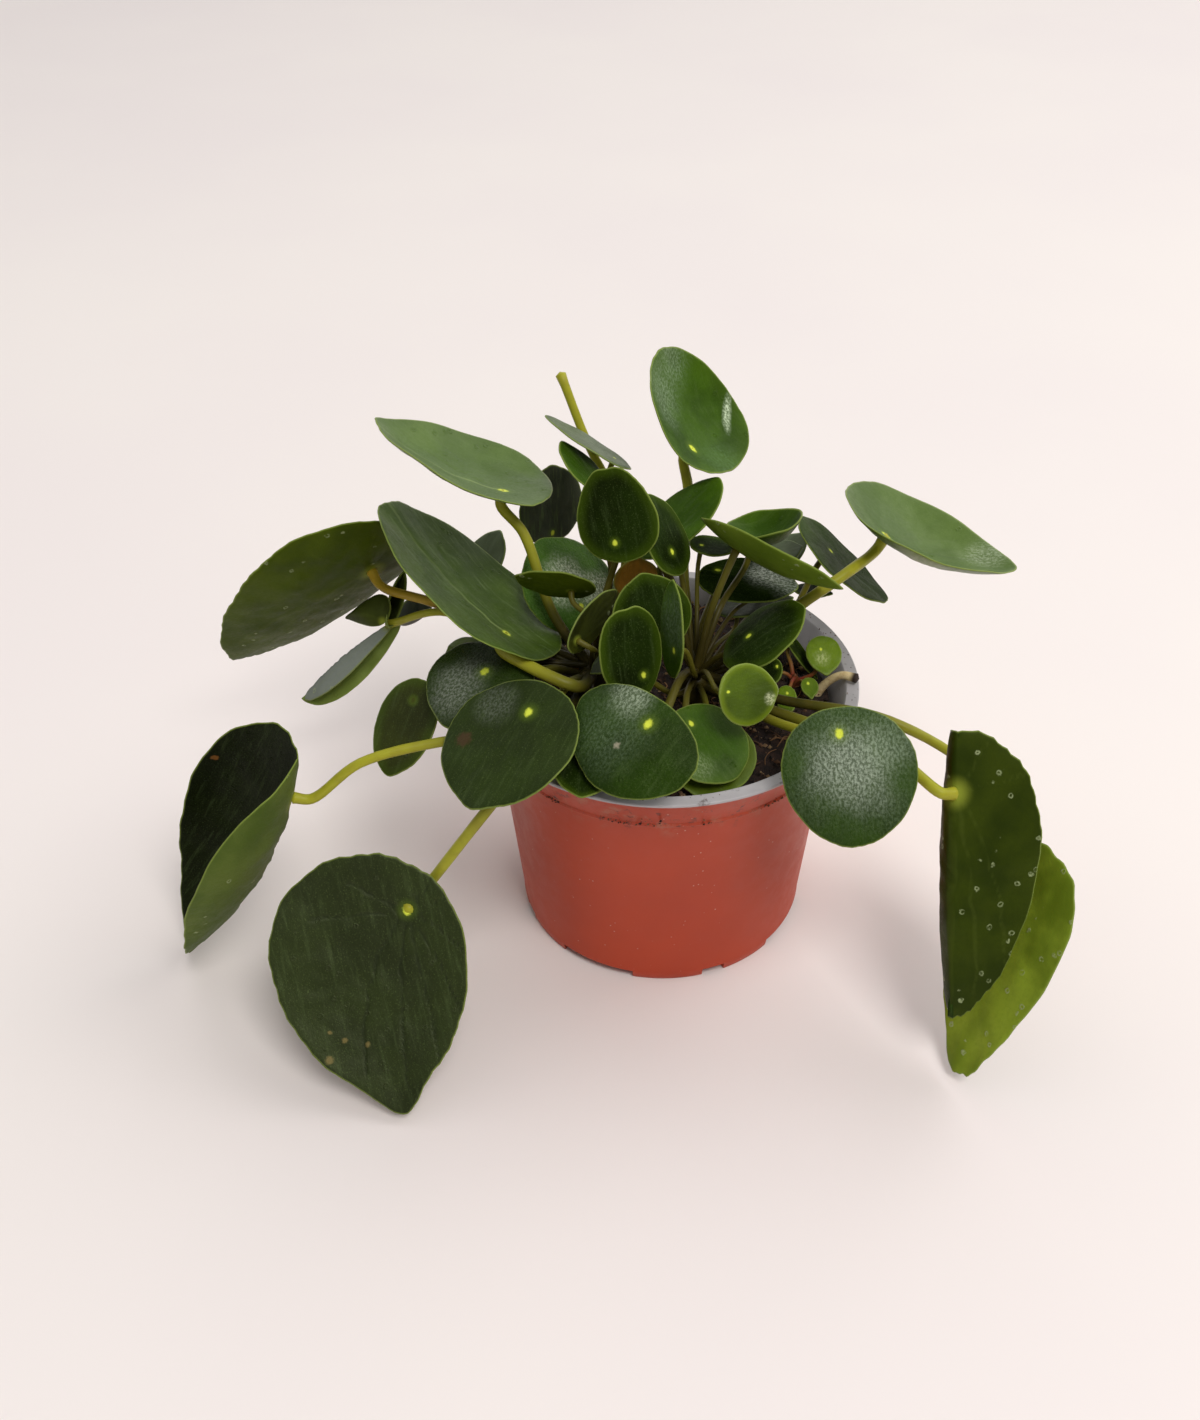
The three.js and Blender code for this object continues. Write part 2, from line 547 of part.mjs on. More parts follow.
function potProfile() {
  const top = POT_HEIGHT
  const under = top - LIP_THICKNESS
  return [
    [0, 0],
    [BASE_RADIUS - BASE_BEVEL, 0],
    [BASE_RADIUS, BASE_BEVEL],
    [CREASE_RADIUS - CREASE_STEP, CREASE_HEIGHT - 1],
    [CREASE_RADIUS + CREASE_STEP / 2, CREASE_HEIGHT],
    [CREASE_RADIUS, CREASE_HEIGHT + 1],
    [BAND_TOP_RADIUS, under],
    [LIP_RADIUS, under],
    [LIP_RADIUS, top],
    [LIP_RADIUS - LIP_WIDTH, top],
    [CREASE_RADIUS - WALL, CREASE_HEIGHT],
    [BASE_RADIUS - WALL, FLOOR_THICKNESS],
    [0, FLOOR_THICKNESS],
  ]
}

function revolve(profile, sides) {
  const geometry = new THREE.LatheGeometry(profile.map(([r, z]) => new THREE.Vector2(r, z)), sides)
  geometry.rotateX(Math.PI / 2)
  return solid(geometry)
}

function channel({ width, firstAngle }, turn) {
  const length = LIP_RADIUS - CHANNEL_INNER_RADIUS
  const geometry = new THREE.BoxGeometry(length, width, 2 * CHANNEL_HEIGHT)
  geometry.translate(CHANNEL_INNER_RADIUS + length / 2, 0, 0)
  geometry.rotateZ(THREE.MathUtils.degToRad(firstAngle) + (turn * 2 * Math.PI) / CHANNEL_COUNT)
  return solid(geometry)
}

function drain(turn) {
  const angle = THREE.MathUtils.degToRad(WIDE_CHANNEL.firstAngle) + (turn * 2 * Math.PI) / CHANNEL_COUNT
  const x = DRAIN_PLACE * Math.cos(angle)
  const y = DRAIN_PLACE * Math.sin(angle)
  return cylinderAt(x, y, -1, FLOOR_THICKNESS + 1, DRAIN_RADIUS, 12)
}

function potMesh() {
  let body = revolve(potProfile(), POT_SIDES)
  for (let turn = 0; turn < CHANNEL_COUNT; turn += 1) {
    body = body.subtract(channel(WIDE_CHANNEL, turn))
    body = body.subtract(channel(NARROW_CHANNEL, turn))
    body = body.subtract(drain(turn))
  }
  return namedMesh('pot', geometryOf(body), colours.pot, 0.45)
}

// The root ball: a cone's side and bottom under a bumpy top.
function soilSolid() {
  const random = randomSource(41)
  const inner = (z) => {
    const slope = (CREASE_RADIUS - BASE_RADIUS) / (CREASE_HEIGHT - FLOOR_THICKNESS)
    return BASE_RADIUS - WALL - GAP - 0.25 + slope * (Math.min(z, CREASE_HEIGHT) - FLOOR_THICKNESS)
  }
  const points = [new THREE.Vector3(0, 0, SOIL_LEVEL)]
  for (let ring = 1; ring <= SOIL_RINGS; ring += 1) {
    const radius = (inner(CREASE_HEIGHT) * ring) / SOIL_RINGS
    for (let side = 0; side < SOIL_SIDES; side += 1) {
      const angle = (side / SOIL_SIDES) * 2 * Math.PI
      const height = SOIL_LEVEL + (ring === SOIL_RINGS ? -1.5 : (random() * 2 - 1) * SOIL_RELIEF)
      points.push(new THREE.Vector3(radius * Math.cos(angle), radius * Math.sin(angle), height))
    }
  }
  const floor = FLOOR_THICKNESS + GAP
  for (const z of [CREASE_HEIGHT, floor]) {
    for (let side = 0; side < SOIL_SIDES; side += 1) {
      const angle = (side / SOIL_SIDES) * 2 * Math.PI
      points.push(new THREE.Vector3(inner(z) * Math.cos(angle), inner(z) * Math.sin(angle), z))
    }
  }
  points.push(new THREE.Vector3(0, 0, floor))
  const faces = []
  const vertex = (ring, side) => 1 + (ring - 1) * SOIL_SIDES + (side % SOIL_SIDES)
  const last = SOIL_RINGS + 2
  for (let side = 0; side < SOIL_SIDES; side += 1) {
    faces.push(0, vertex(1, side), vertex(1, side + 1))
    faces.push(points.length - 1, vertex(last, side + 1), vertex(last, side))
    for (let ring = 1; ring < last; ring += 1) {
      faces.push(vertex(ring, side), vertex(ring + 1, side), vertex(ring + 1, side + 1))
      faces.push(vertex(ring, side), vertex(ring + 1, side + 1), vertex(ring, side + 1))
    }
  }
  return solid(closedGeometry(points, faces))
}

function soilMesh() {
  const feet = Object.values(stems).map((stem) => stemSolid(stem, GAP))
  const holes = [...feet, runner(GAP), drySolid(GAP)]
  const body = soilSolid().subtract(union(holes))
  return namedMesh('soil', geometryOf(body), colours.soil, 0.95)
}

const group = new THREE.Group()
group.add(potMesh(), soilMesh(), stemsMesh(), plantletStemsMesh())
group.add(namedMesh('dry_stalk', geometryOf(drySolid(0)), colours.dry, 0.7))
leaves.forEach((leaf, index) => {
  let blade = solid(bladeGeometry(leaf, index))
  for (const lobe of leaf.lobes ?? []) blade = blade.add(solid(bladeGeometry(lobe, index)))
  const geometry = geometryOf(blade)
  group.add(namedMesh(leaf.name, geometry, colours[leaf.colour ?? 'leaf'], 0.35))
})

export default group
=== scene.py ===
"""A potted pilea, dressed for rendering: waved blades, stalks, soil and pot around the fixed CAD frame.

The shapes use the same named values as the part's source, in millimetres, on finer meshes.
"""

import json
import math

import bpy
import numpy as np
from mathutils import Matrix, Vector, noise


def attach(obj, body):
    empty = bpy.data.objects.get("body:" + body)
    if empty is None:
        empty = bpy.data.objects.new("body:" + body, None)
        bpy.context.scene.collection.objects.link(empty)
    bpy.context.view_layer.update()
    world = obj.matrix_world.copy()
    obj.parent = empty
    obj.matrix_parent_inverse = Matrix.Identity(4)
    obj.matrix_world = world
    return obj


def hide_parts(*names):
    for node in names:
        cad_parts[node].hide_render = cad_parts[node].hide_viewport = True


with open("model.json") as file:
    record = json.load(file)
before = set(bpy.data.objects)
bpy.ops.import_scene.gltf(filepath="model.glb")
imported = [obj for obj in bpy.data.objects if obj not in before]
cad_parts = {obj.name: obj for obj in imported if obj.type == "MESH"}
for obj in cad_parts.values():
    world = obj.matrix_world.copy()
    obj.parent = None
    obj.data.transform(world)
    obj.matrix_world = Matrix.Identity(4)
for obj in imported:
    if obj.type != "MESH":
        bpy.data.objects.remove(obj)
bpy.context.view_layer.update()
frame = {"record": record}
MM = 0.001

# Pot.
POT_HEIGHT = 86.7
LIP_RADIUS = 60
LIP_WIDTH = 4.4
LIP_THICKNESS = 1.2
LIP_ROUND = 0.3
BAND_TOP_RADIUS = 56.8
BAND_SLOPE = 0.29
CREASE_RADIUS = 53.1
CREASE_HEIGHT = 72.6
CREASE_STEP = 0.5
BASE_RADIUS = 46.3
BASE_BEVEL = 0.8
FOOT_RING_HEIGHT = 3.4
WALL = 1.1
FLOOR_THICKNESS = 4.2
POT_SIDES = 192
CHANNEL_HEIGHT = 3
CHANNEL_INNER_RADIUS = 24
WIDE_CHANNEL = (25, -116)
NARROW_CHANNEL = (7.5, -68)
CHANNEL_COUNT = 4
DRAIN_RADIUS = 3
DRAIN_PLACE = 36
DRAIN_SIDES = 24
SHARP_EDGE = 38

# Soil, and the crumbs and fibres on it and on the pot.
SOIL_LEVEL = 80
SOIL_RADIUS = 51.6
SOIL_SIDES = 160
SOIL_RINGS = 46
SOIL_SINK = 1.6
SOIL_CRUMBS = 2600
CREASE_CRUMBS = 760
LIP_CRUMBS = 120
SOIL_FIBRES = 260
FIBRE_SPREAD = 49
FIBRE_LIMIT = 51
FIBRE_SIDES = 5

# Blades.
BLADE = 0.7
TIP_SPREAD = 0.08
EDGE_WAVE = 0.0072
THINNING_START = 0.93
THINNING_SPAN = 0.075
VEIN_TURNS = (0, 28, -28, 62, -62, 105, -105, 150, -150)
VEIN_POINTS = 14
LARGE = (120, 22)
MEDIUM = (84, 15)
SMALL = (60, 10)
LARGE_FROM = 35
MEDIUM_FROM = 19
SIZE_SHARE = {LARGE: 1.0, MEDIUM: 0.62, SMALL: 0.36}

# Stems and stalks.
APPROACH = 0.16
STALK_SIDES = 12
STEM_SIDES = 28
STEM_STEPS = 21
RIGHT_STEM = dict(foot=(10, -2), radius=5.2, top=91)
LEFT_STEM = dict(foot=(-22, 2), radius=4.6, top=90)
OFFSET_STEM = dict(foot=(41, 5), radius=1.6, top=84)
STEMS = dict(right=RIGHT_STEM, left=LEFT_STEM, offset=OFFSET_STEM)
BETWEEN_STEMS = -6
# Tone of the stalks in the crown's shade: painted shade on their colour.
IN_SHADE = -0.8
BARE_STALK = ((1, 25, 108), (-22.5, 47.5, 136.5), (-33, 57, 160))
DRY_STALK = ((46, 1, 76), (50, 0.5, 84), (54.5, -1, 88.6), (59, -3, 89))

# Camera, fitted to the pot's rim and base circles in the photo.
CAMERA_AT = (0, -371, 365)
CAMERA_PITCH = 38.17
CAMERA_YAW = -3.04
CAMERA_ROLL = -1.06
LENS = 1500 / 1420 * 36

# Stage: half the floor's width, and how bright the backdrop looks to the camera.
FLOOR_HALF = 4000
BACKDROP = 0.9


def blade(name, look, at, tip, width, base, roll, **more):
    """One leaf, or one lobe of it.

    at is where the stalk meets the blade, tip its far end and base the share of its length behind the
    stalk. roll turns it about the line from at to tip, crease and fold lift its left and right halves,
    cup lifts its edge, side moves its middle, egg widens it behind the middle, point draws out its tip
    and ragged its edge. size is the fineness of its mesh. stalk is the radius of its stalk, which
    leaves the nearer stem, passes the points of via and ends at join if it has one. tone is how bright
    the stalk is; a tone under 0 is painted shade, for stalks in the crown's shade. marks are spots:
    x, y, reach, colour. The glints are painted highlights and reflections: x, y, reach, a glint's
    strength, colour, and a slant for one drawn out along a line.
    """
    nearer = "left" if at[0] < BETWEEN_STEMS else "right"
    stem = "offset" if name.startswith("plantlet") else nearer
    size = LARGE if width > LARGE_FROM else MEDIUM if width > MEDIUM_FROM else SMALL
    usual = dict(
        side=0, egg=0.06, point=1, cup=0, fold=(0, 0), crease=(0, 0), ragged=0.004, size=size,
        stem=stem, stalk=0.8, tone=0 if stem == "offset" or size == LARGE else IN_SHADE,
        via=(), join=None, marks=(), sheens=(), lobes=(),
    )
    return usual | dict(name=name, look=look, at=at, tip=tip, width=width, base=base, roll=roll) | more


# The glint entries of the leaves are painted highlights and reflections on their upper sides.
LEAVES = (
    blade("leaf_top", "satin", (8, 48, 139.3), (-7.2, 63.9, 162.7), 46.2, 0.274, 19.6, side=-6.4, egg=0.215,
        point=-0.7, cup=6.3, stalk=1.6, via=((6, 28, 108), (7, 45, 127)),
        sheens=(
            (20, 2, 15, 0.75, "#869a78"), (27, -8, 12, 0.6, "#869a78"), (-8, -8, 12, 0.5, "#5f7f4c"),
            (6.3, -24.8, 1.9, 0.95, "#d4e4c0", 146),
        )),
    blade("leaf_top_left", "sheen", (-49, 23.8, 137.8), (-89.3, 30.1, 153.5), 49.9, 0.221, 14.5, side=-4,
        egg=0.311, point=1.3, cup=5.4, stalk=1.6, via=((-34, 8, 104), (-43, 19, 126))),
    blade("leaf_big_left", "ribbed", (-47.5, -3, 104), (-88, 31.1, 126.6), 52.4, 0.213, 27.4, side=-1.9,
        egg=0.214, point=-1.1, cup=4.2, stalk=1.9, via=((-25.9, -19.3, 97), (-41, -14.1, 101))),
    blade("leaf_left", "backed", (-95, 35.7, 101.3), (-139.6, 49.2, 51.8), 53.4, 0.263, 39, side=10.7,
        egg=0.288, cup=4.5, ragged=0.011, stalk=1.5, tone=0.7, via=((-44, 14, 92), (-72.4, 15.1, 103))),
    blade("leaf_left_torn", "torn", (-88.1, 20.4, 90.7), (-119.2, 16.1, 64.1), 14.8, 0.092, -138.3,
        side=1.2, egg=-0.38, point=0, cup=2.3, crease=(59.6, 52.2), size=MEDIUM, stalk=1.2, tone=0,
        via=((-52, 12, 95), (-69.1, 11.1, 102)), join=(-85.3, 18.6, 92.6),
        lobes=(
            blade("leaf_left_torn_lobe_1", "lobe_dark", (-88.1, 20.4, 90.7), (-101.8, 23.8, 84.5), 9.1, 0.1,
                138.9, side=4.5, egg=0.634, cup=3.5),
            blade("leaf_left_torn_lobe_2", "lobe_pale", (-88.1, 20.4, 90.7), (-85.8, 38.1, 97.5), 4.6, 0.1,
                29.5, side=0.1, egg=-0.044, cup=9.4),
            blade("leaf_left_torn_lobe_3", "lobe_grey", (-88.1, 20.4, 90.7), (-79.4, 29.7, 92.4), 9.2, 0.08,
                -2.9, side=-1.2, egg=-0.603, point=-3.1, cup=4.2),
        )),
    blade("leaf_left_folded", "folded", (-108.4, -45.1, 74.3), (-149.8, -42.3, 1.2), 61.9, 0.157, -8.7,
        side=-4.1, egg=0.271, cup=7.5, fold=(42, 61), crease=(11.8, 12.3), ragged=0.008, stalk=1.5,
        via=((-43, -33, 90), (-64.4, -35.6, 88.3), (-87.6, -41.2, 84.5)),
        marks=((14.3, -32.3, 1.6, "#94602c"),)),
    blade("leaf_lower_left", "creased", (-73.5, -66.6, 50.3), (-59.9, -100.8, 5.5), 56.9, 0.177, 15.9,
        side=-14, egg=0.144, point=6.9, cup=2.5, ragged=0.007, stalk=1.6,
        via=((-34, -40, 91.5), (-46, -57, 86)),
        marks=(
            (37.7, -31.8, 1.6, "#7a6a3c"), (33.3, -26.4, 1.1, "#7a6a3c"), (36, -20, 1, "#7a6a3c"),
            (30, -30, 0.9, "#7a6a3c"),
        )),
    blade("leaf_front_left", "dark", (-38, -37.1, 100.7), (-51.7, -64.1, 87.5), 41.5, 0.212, 6.6, side=-1.4,
        egg=0.045, point=1.8, cup=-0.4, stalk=1.3, marks=((13.6, -14.9, 3.2, "#4a3222"),),
        sheens=((0, -12, 9, 0.3, "#8c9384"),)),
    blade("leaf_front", "crinkled", (-3.8, -47.7, 105.7), (-17.5, -60.4, 92.9), 40.5, 0.248, -12.4,
        side=-1.4, egg=0.158, point=0.3, cup=-2.3, stalk=1.3, tone=-0.8, marks=((10, -3.2, 1.3, "#b0a890"),),
        sheens=((-3, -9, 9, 0.8, "#a9b59c"), (8, -8, 16, 0.3, "#7f9474"))),
    blade("leaf_front_right", "bright", (8.1, -33.9, 95), (19.9, -47.8, 85.3), 26.8, 0.197, -1.4, side=0.6,
        egg=0.018, point=0.5, stalk=1, via=((7, -20, 94.5),), sheens=((12, -6, 7, 0.4, "#a0b080"),)),
    blade("leaf_front_under", "yellow", (16.4, -30.8, 87.9), (12.4, -50.9, 81.4), 27.3, 0.214, -8.6,
        side=-1.5, stalk=0.9, tone=0),
    blade("leaf_gloss_left", "gloss", (-53.3, -13.3, 97.2), (-65, -28.7, 89.9), 35.4, 0.331, -4.3, side=0.7,
        cup=-2, stalk=1.2, sheens=((9, -4, 13, 0.65, "#a0a698"), (0, -4, 10, 0.4, "#7c8274"))),
    blade("leaf_brown_left", "olive", (-76, -12, 85), (-83, -29, 69), 20, 0.2, 0, stalk=1, tone=0,
        via=((-56, -1, 92), (-68, 1, 84))),
    blade("leaf_right", "sheen", (67.8, 27.9, 121.1), (105.8, 21.3, 106.4), 47.8, 0.257, -10.6, side=2.5,
        egg=0.217, point=2.5, cup=8.3, stalk=1.7, via=((42, 8, 109), (55, 14, 116)),
        sheens=((32, 9, 9, 0.6, "#a8b494"),)),
    blade("leaf_right_round", "crinkled", (48.6, -48.2, 103.7), (49.2, -72, 83.5), 37.7, 0.2, -2.8,
        side=2.9, egg=0.096, point=0.3, cup=-2.1, stalk=1.4, via=((33, -26, 90),),
        sheens=(
            (9, 3, 16, 0.8, "#b4bcac"), (3, 12, 12, 0.4, "#9cab92"), (4, 4, 34, 0.3, "#7f9474"),
        )),
    blade("leaf_right_hanging", "hanging", (81.5, -53, 87), (84.1, -82.5, 25.1), 46.2, 0.195, -140.2,
        side=-0.9, egg=0.246, cup=2.8, fold=(113.7, -9.6), crease=(24.8, 40.3), ragged=0.009, stalk=1.6,
        via=((33, -21, 90), (66, -43, 91))),
    blade("leaf_right_low", "backed_bright", (106.6, -44.4, 57.8), (87, -81.4, 3.2), 38.4, 0.08, -150.6,
        side=-3.5, egg=0.503, point=-2, cup=-0.3, ragged=0.009, stalk=1.5,
        via=((33, -14, 89.5), (66, -26, 91), (93, -33, 76))),
    blade("leaf_crown_front", "deep", (-14.4, 0.8, 134.2), (-18.8, 7.7, 154.3), 23.9, 0.253, -44, side=-2,
        egg=0.233, point=-1.2, cup=0.3, stalk=1),
    blade("leaf_crown_back", "deep", (1.9, 9.5, 125.7), (-5.4, 18.4, 140.3), 20.3, 0.258, 20.1, side=-0.1,
        stalk=0.9),
    blade("leaf_crown_right", "satin", (1.2, 26, 122.8), (17.1, 41.2, 132.8), 19.7, 0.319, -3, side=0.5,
        stalk=0.9),
    blade("leaf_back_grey", "grey", (-37.4, 54.3, 104.7), (-37, 56, 129), 23.9, 0.105, 47.8, side=0.2,
        stalk=1, via=((-30, 34, 88), (-37, 56, 91))),
    blade("leaf_back_small", "satin", (-22.7, 27, 139.8), (-32.6, 35.5, 148.3), 17.3, 0.217, 24.8,
        side=-1.3, via=((-17, 27, 109),)),
    blade("leaf_back_pale", "pale", (-16, 37.4, 141.5), (-37.2, 43.6, 152.8), 17.9, 0.172, 22.3, side=-0.3,
        tone=0, via=((-13, 29, 109),)),
    blade("leaf_back_left", "pale", (-62, 40, 97), (-54, 50, 108), 16, 0.26, 0, tone=0,
        via=((-40, 26, 86), (-54, 34, 91))),
    blade("leaf_cross", "strap", (21.4, 10.7, 126.3), (50.7, -5.6, 120.1), 32.1, 0.271, -44.9, side=-0.2,
        cup=4, stalk=1.1),
    blade("leaf_cup", "satin", (26, 33.4, 115.2), (42.9, 40.7, 117.4), 26.8, 0.223, -17.8, side=-1.8,
        cup=6.9, stalk=1, via=((17, 9, 106),)),
    blade("leaf_back_right", "slate", (52.8, 40, 107.3), (72.4, 41.3, 89.5), 31, 0.351, -0.2, side=-1.6,
        egg=0.276, point=0.6, cup=0.4, stalk=1, via=((31, 8, 91), (41, 20, 99))),
    blade("leaf_back_right_small", "pale", (37, 48, 99), (46, 53, 106), 14, 0.26, 0,
        via=((20, 18, 87), (32, 38, 90))),
    blade("leaf_gloss_right", "wrinkled", (16.9, 31.3, 105.1), (42.4, 24, 105.7), 23.3, 0.15, 3.2,
        side=-2.8, stalk=0.9, via=((11, 12, 95),),
        sheens=((16, 3, 11, 0.8, "#c4cabc"), (24, -3, 8, 0.6, "#b4bcac"))),
    blade("leaf_oval_right", "deep", (25, -11.5, 110.1), (39.6, -8.9, 120.9), 24.6, 0.353, -0.2, side=-1.6,
        egg=0.029, point=0.4, cup=-1.6, stalk=0.9),
    blade("leaf_yellow_right", "fresh", (18.2, -35.5, 108), (32.7, -28.4, 106.1), 17.8, 0.11, 56.4,
        side=-1.7, sheens=((13, -4, 2.2, 0.8, "#d8dcb0"),)),
    blade("leaf_middle", "deep", (-5.7, -24.7, 105.6), (-8.2, -19.8, 126.1), 19.9, 0.29, 2.5, side=3.2,
        egg=-0.063, point=-1.1, cup=0.3, stalk=0.9, via=((3, -16, 92),)),
    blade("leaf_middle_dark", "deep", (-2.9, -10.3, 108.9), (-7.6, -1.5, 125), 24.5, 0.17, -6.1, side=-1,
        stalk=0.9),
    blade("leaf_middle_narrow", "satin", (3.3, -20.7, 111.4), (3.4, -16.6, 132.3), 13.9, 0.282, -60.6,
        side=1.9, size=MEDIUM, via=((9, -16, 100),), sheens=((10, 1, 14, 0.6, "#6c7c62"),)),
    blade("leaf_old", "old", (-9.6, 19.4, 106.6), (-10, 22, 116), 15, 0.228, 7.4, side=-1.2),
    blade("leaf_flat", "backed", (-27.7, 1.5, 117.1), (-44.6, -1.5, 123.3), 19.9, 0.236, 52.6, side=1.9,
        size=SMALL, via=((-19, -2, 106),)),
    blade("leaf_crown_gloss", "crown_gloss", (-26, 17.6, 100.4), (-39.8, 29.7, 117.2), 30.9, 0.22, -8.8,
        side=-0.7, cup=-2, stalk=1, via=((-24, 15, 87.5), (-26, 22.5, 92.5)),
        sheens=((10, 1, 10, 0.95, "#f0f8dc"), (2, -6, 9, 0.95, "#f0f8dc"))),
    blade("leaf_folded_yellow", "olive", (-25.4, -15.3, 110.8), (-14.3, 0.1, 118.5), 11.4, 0.128, -100,
        side=0.3),
    blade("leaf_soil_small", "grey", (-16, -5, 97), (-22, -8, 93), 8, 0.2, 0, stalk=0.7),
    blade("leaf_front_dark", "deep", (-21, -42, 93), (-22, -60, 89), 20, 0.2, 0, size=SMALL),
    blade("leaf_right_dark", "deep", (45.9, 37, 94.7), (54.1, 32.9, 95.7), 8.2, 0.26, 0, stalk=0.7,
        via=((30, 10, 88), (42, 23, 93))),
    blade("plantlet_leaf_round", "young", (48.6, 7.8, 91.8), (49.4, -0.1, 87.6), 11.1, 0.295, 0.4, side=0.8,
        stalk=0.6, via=((47, 4, 86),), sheens=((3, 0, 4, 0.7, "#d4dc9c"),)),
    blade("plantlet_leaf_folded", "deep", (39.7, 12.8, 90.7), (47.5, 3.4, 83.4), 4.5, 0.198, -1.4, side=0.6,
        stalk=0.6),
    blade("plantlet_leaf_near", "young", (44.5, -1.7, 85.6), (45, -7, 83.7), 5.5, 0.193, -1.8, side=0.4,
        stalk=0.5, via=((43, 2, 84),)),
    blade("plantlet_leaf_left", "young", (37.9, -6.2, 85.2), (37.7, -14.3, 82.7), 6.3, 0.194, -2.3,
        side=-0.2, stalk=0.5),
    blade("plantlet_leaf_back", "deep", (35.2, 4.2, 87.6), (34.2, -2.4, 84.2), 6.8, 0.217, 0.2, side=-1.5,
        stalk=0.5),
    blade("leaf_cross_small", "deep", (11.2, 23.2, 119.4), (22.2, 24.8, 117.5), 10.6, 0.195, 5.3, side=0.4,
        stalk=0.7),
    blade("leaf_under_gloss", "olive", (23.6, 26.7, 94.7), (41.2, 29.2, 96.9), 13.4, 0.266, -3.4, side=-0.4,
        stalk=0.7),
    blade("leaf_cup_under", "pale", (36.7, 42.9, 105), (44.4, 44.3, 106.6), 12.5, 0.289, 2.5, side=-0.2,
        stalk=0.7),
    blade("leaf_behind_left", "young", (-60.2, 2.5, 94.2), (-66.9, -0.9, 94.4), 13.5, 0.42, 1.2, side=0.1,
        stalk=0.7, tone=0, via=((-46, 6, 93),)),
)


def look(upper, deep, under, rough, crinkle, **more):
    """How a kind of blade looks: the colours of its sides, its roughness and how crinkled it is.

    shade is the darker tint of its underside, shine its gloss, streak, crease and midrib the strength
    of its lengthwise streaks, vein grooves and pale middle line, glow and lit the strength and colour
    of the painted light on its rim where light comes through, and dot the colour over the stalk. crease
    also sets how dark the painted shade along the veins is.
    """
    usual = dict(
        shade=deep, shine=0.36, streak=0.12, crease=0, midrib=0, glow=0, lit="#4f6a0c", dot="#dce64a",
    )
    return usual | dict(upper=upper, deep=deep, under=under, rough=rough, crinkle=crinkle) | more


LOOKS = dict(
    satin=look("#3c5a0c", "#2c4606", "#4a5c16", 0.42, 0.3, glow=0.2, shine=0.08),
    sheen=look("#4c661e", "#405a14", "#6a7c38", 0.42, 0.12, shine=0.42, midrib=0.5),
    ribbed=look("#465c1a", "#384e0f", "#5a6c2c", 0.46, 0.15, shine=0.2, streak=0.5, midrib=0.6),
    backed=look("#283e08", "#1e2f05", "#4a5a08", 0.46, 0.25, shade="#3b4a04", shine=0.1),
    hanging=look("#283e08", "#1e2f05", "#333f07", 0.46, 0.25, shade="#253104", shine=0.1),
    backed_bright=look("#3c5408", "#2c4005", "#8a9e2c", 0.44, 0.3, shade="#64781a", shine=0.16),
    slate=look("#34461a", "#27370f", "#4a5a28", 0.5, 0.2, shine=0.05),
    wrinkled=look("#24340f", "#182508", "#2c3a10", 0.5, 1.2, shine=0.0),
    strap=look("#4a5c14", "#3c4e0e", "#70862a", 0.5, 0.2, shade="#5e7420", shine=0.05),
    lobe_dark=look("#343c14", "#2a310e", "#3c4418", 0.5, 0.2, shine=0.1),
    lobe_pale=look("#6a7440", "#58622f", "#7c8450", 0.5, 0.2, shine=0.1),
    lobe_grey=look("#6c716c", "#5a605a", "#7a807c", 0.5, 0.2, shine=0.1),
    # torn: olive above and pale grey below; the olive is made lighter as painted light, since the strip lies
    # in shade.
    torn=look("#8a9c50", "#76883e", "#868c84", 0.5, 0.2, shade="#747a70", shine=0.1),
    folded=look("#121b03", "#0c1302", "#5c6c2e", 0.5, 0.5, shade="#4c5e24", shine=0.08),
    creased=look("#242e0e", "#1c240a", "#4a5c24", 0.46, 0.3, crease=0.9),
    dark=look("#25340b", "#1d2a07", "#46561e", 0.42, 0.5, shine=0.2),
    crinkled=look("#263e06", "#1c3004", "#46561e", 0.28, 1.2, shine=0.14),
    gloss=look("#26380c", "#1a2906", "#3f4c14", 0.3, 1.4, shine=0.2),
    # crown_gloss: a green made lighter as painted light, since the blade lies in the crown's shade.
    crown_gloss=look("#4a7020", "#365814", "#4a5c1c", 0.3, 1.4, shine=0.2),
    bright=look("#365606", "#284204", "#5c7610", 0.34, 0.5, glow=0.3, shine=0.2),
    deep=look("#1c2c05", "#131e03", "#384809", 0.42, 0.3, glow=0.6, lit="#3f540a", shine=0.05),
    olive=look("#2c3204", "#202403", "#444a0a", 0.48, 0.3, glow=0.3, dot="#40460e"),
    yellow=look("#56660a", "#425206", "#6a7a14", 0.4, 0.3, glow=0.3),
    young=look("#6c860e", "#4e6808", "#6e8418", 0.34, 0.4, glow=0.3),
    fresh=look("#4e640a", "#3a4c05", "#5c7010", 0.36, 0.4, glow=0.6, lit="#7a8e14"),
    grey=look("#545a48", "#42483a", "#5a6248", 0.6, 0.3, streak=0.6, shine=0.1),
    pale=look("#68745a", "#546046", "#7c8870", 0.5, 0.2),
    # old: a dead amber blade, its colour made lighter as painted light, since it lies in the crown's shade.
    old=look("#e0a038", "#c08428", "#dca040", 0.5, 0.6, glow=0.3),
)


def linear(text):
    values = [int(text[i : i + 2], 16) / 255 for i in (1, 3, 5)]
    return [v / 12.92 if v < 0.04045 else ((v + 0.055) / 1.055) ** 2.4 for v in values] + [1.0]


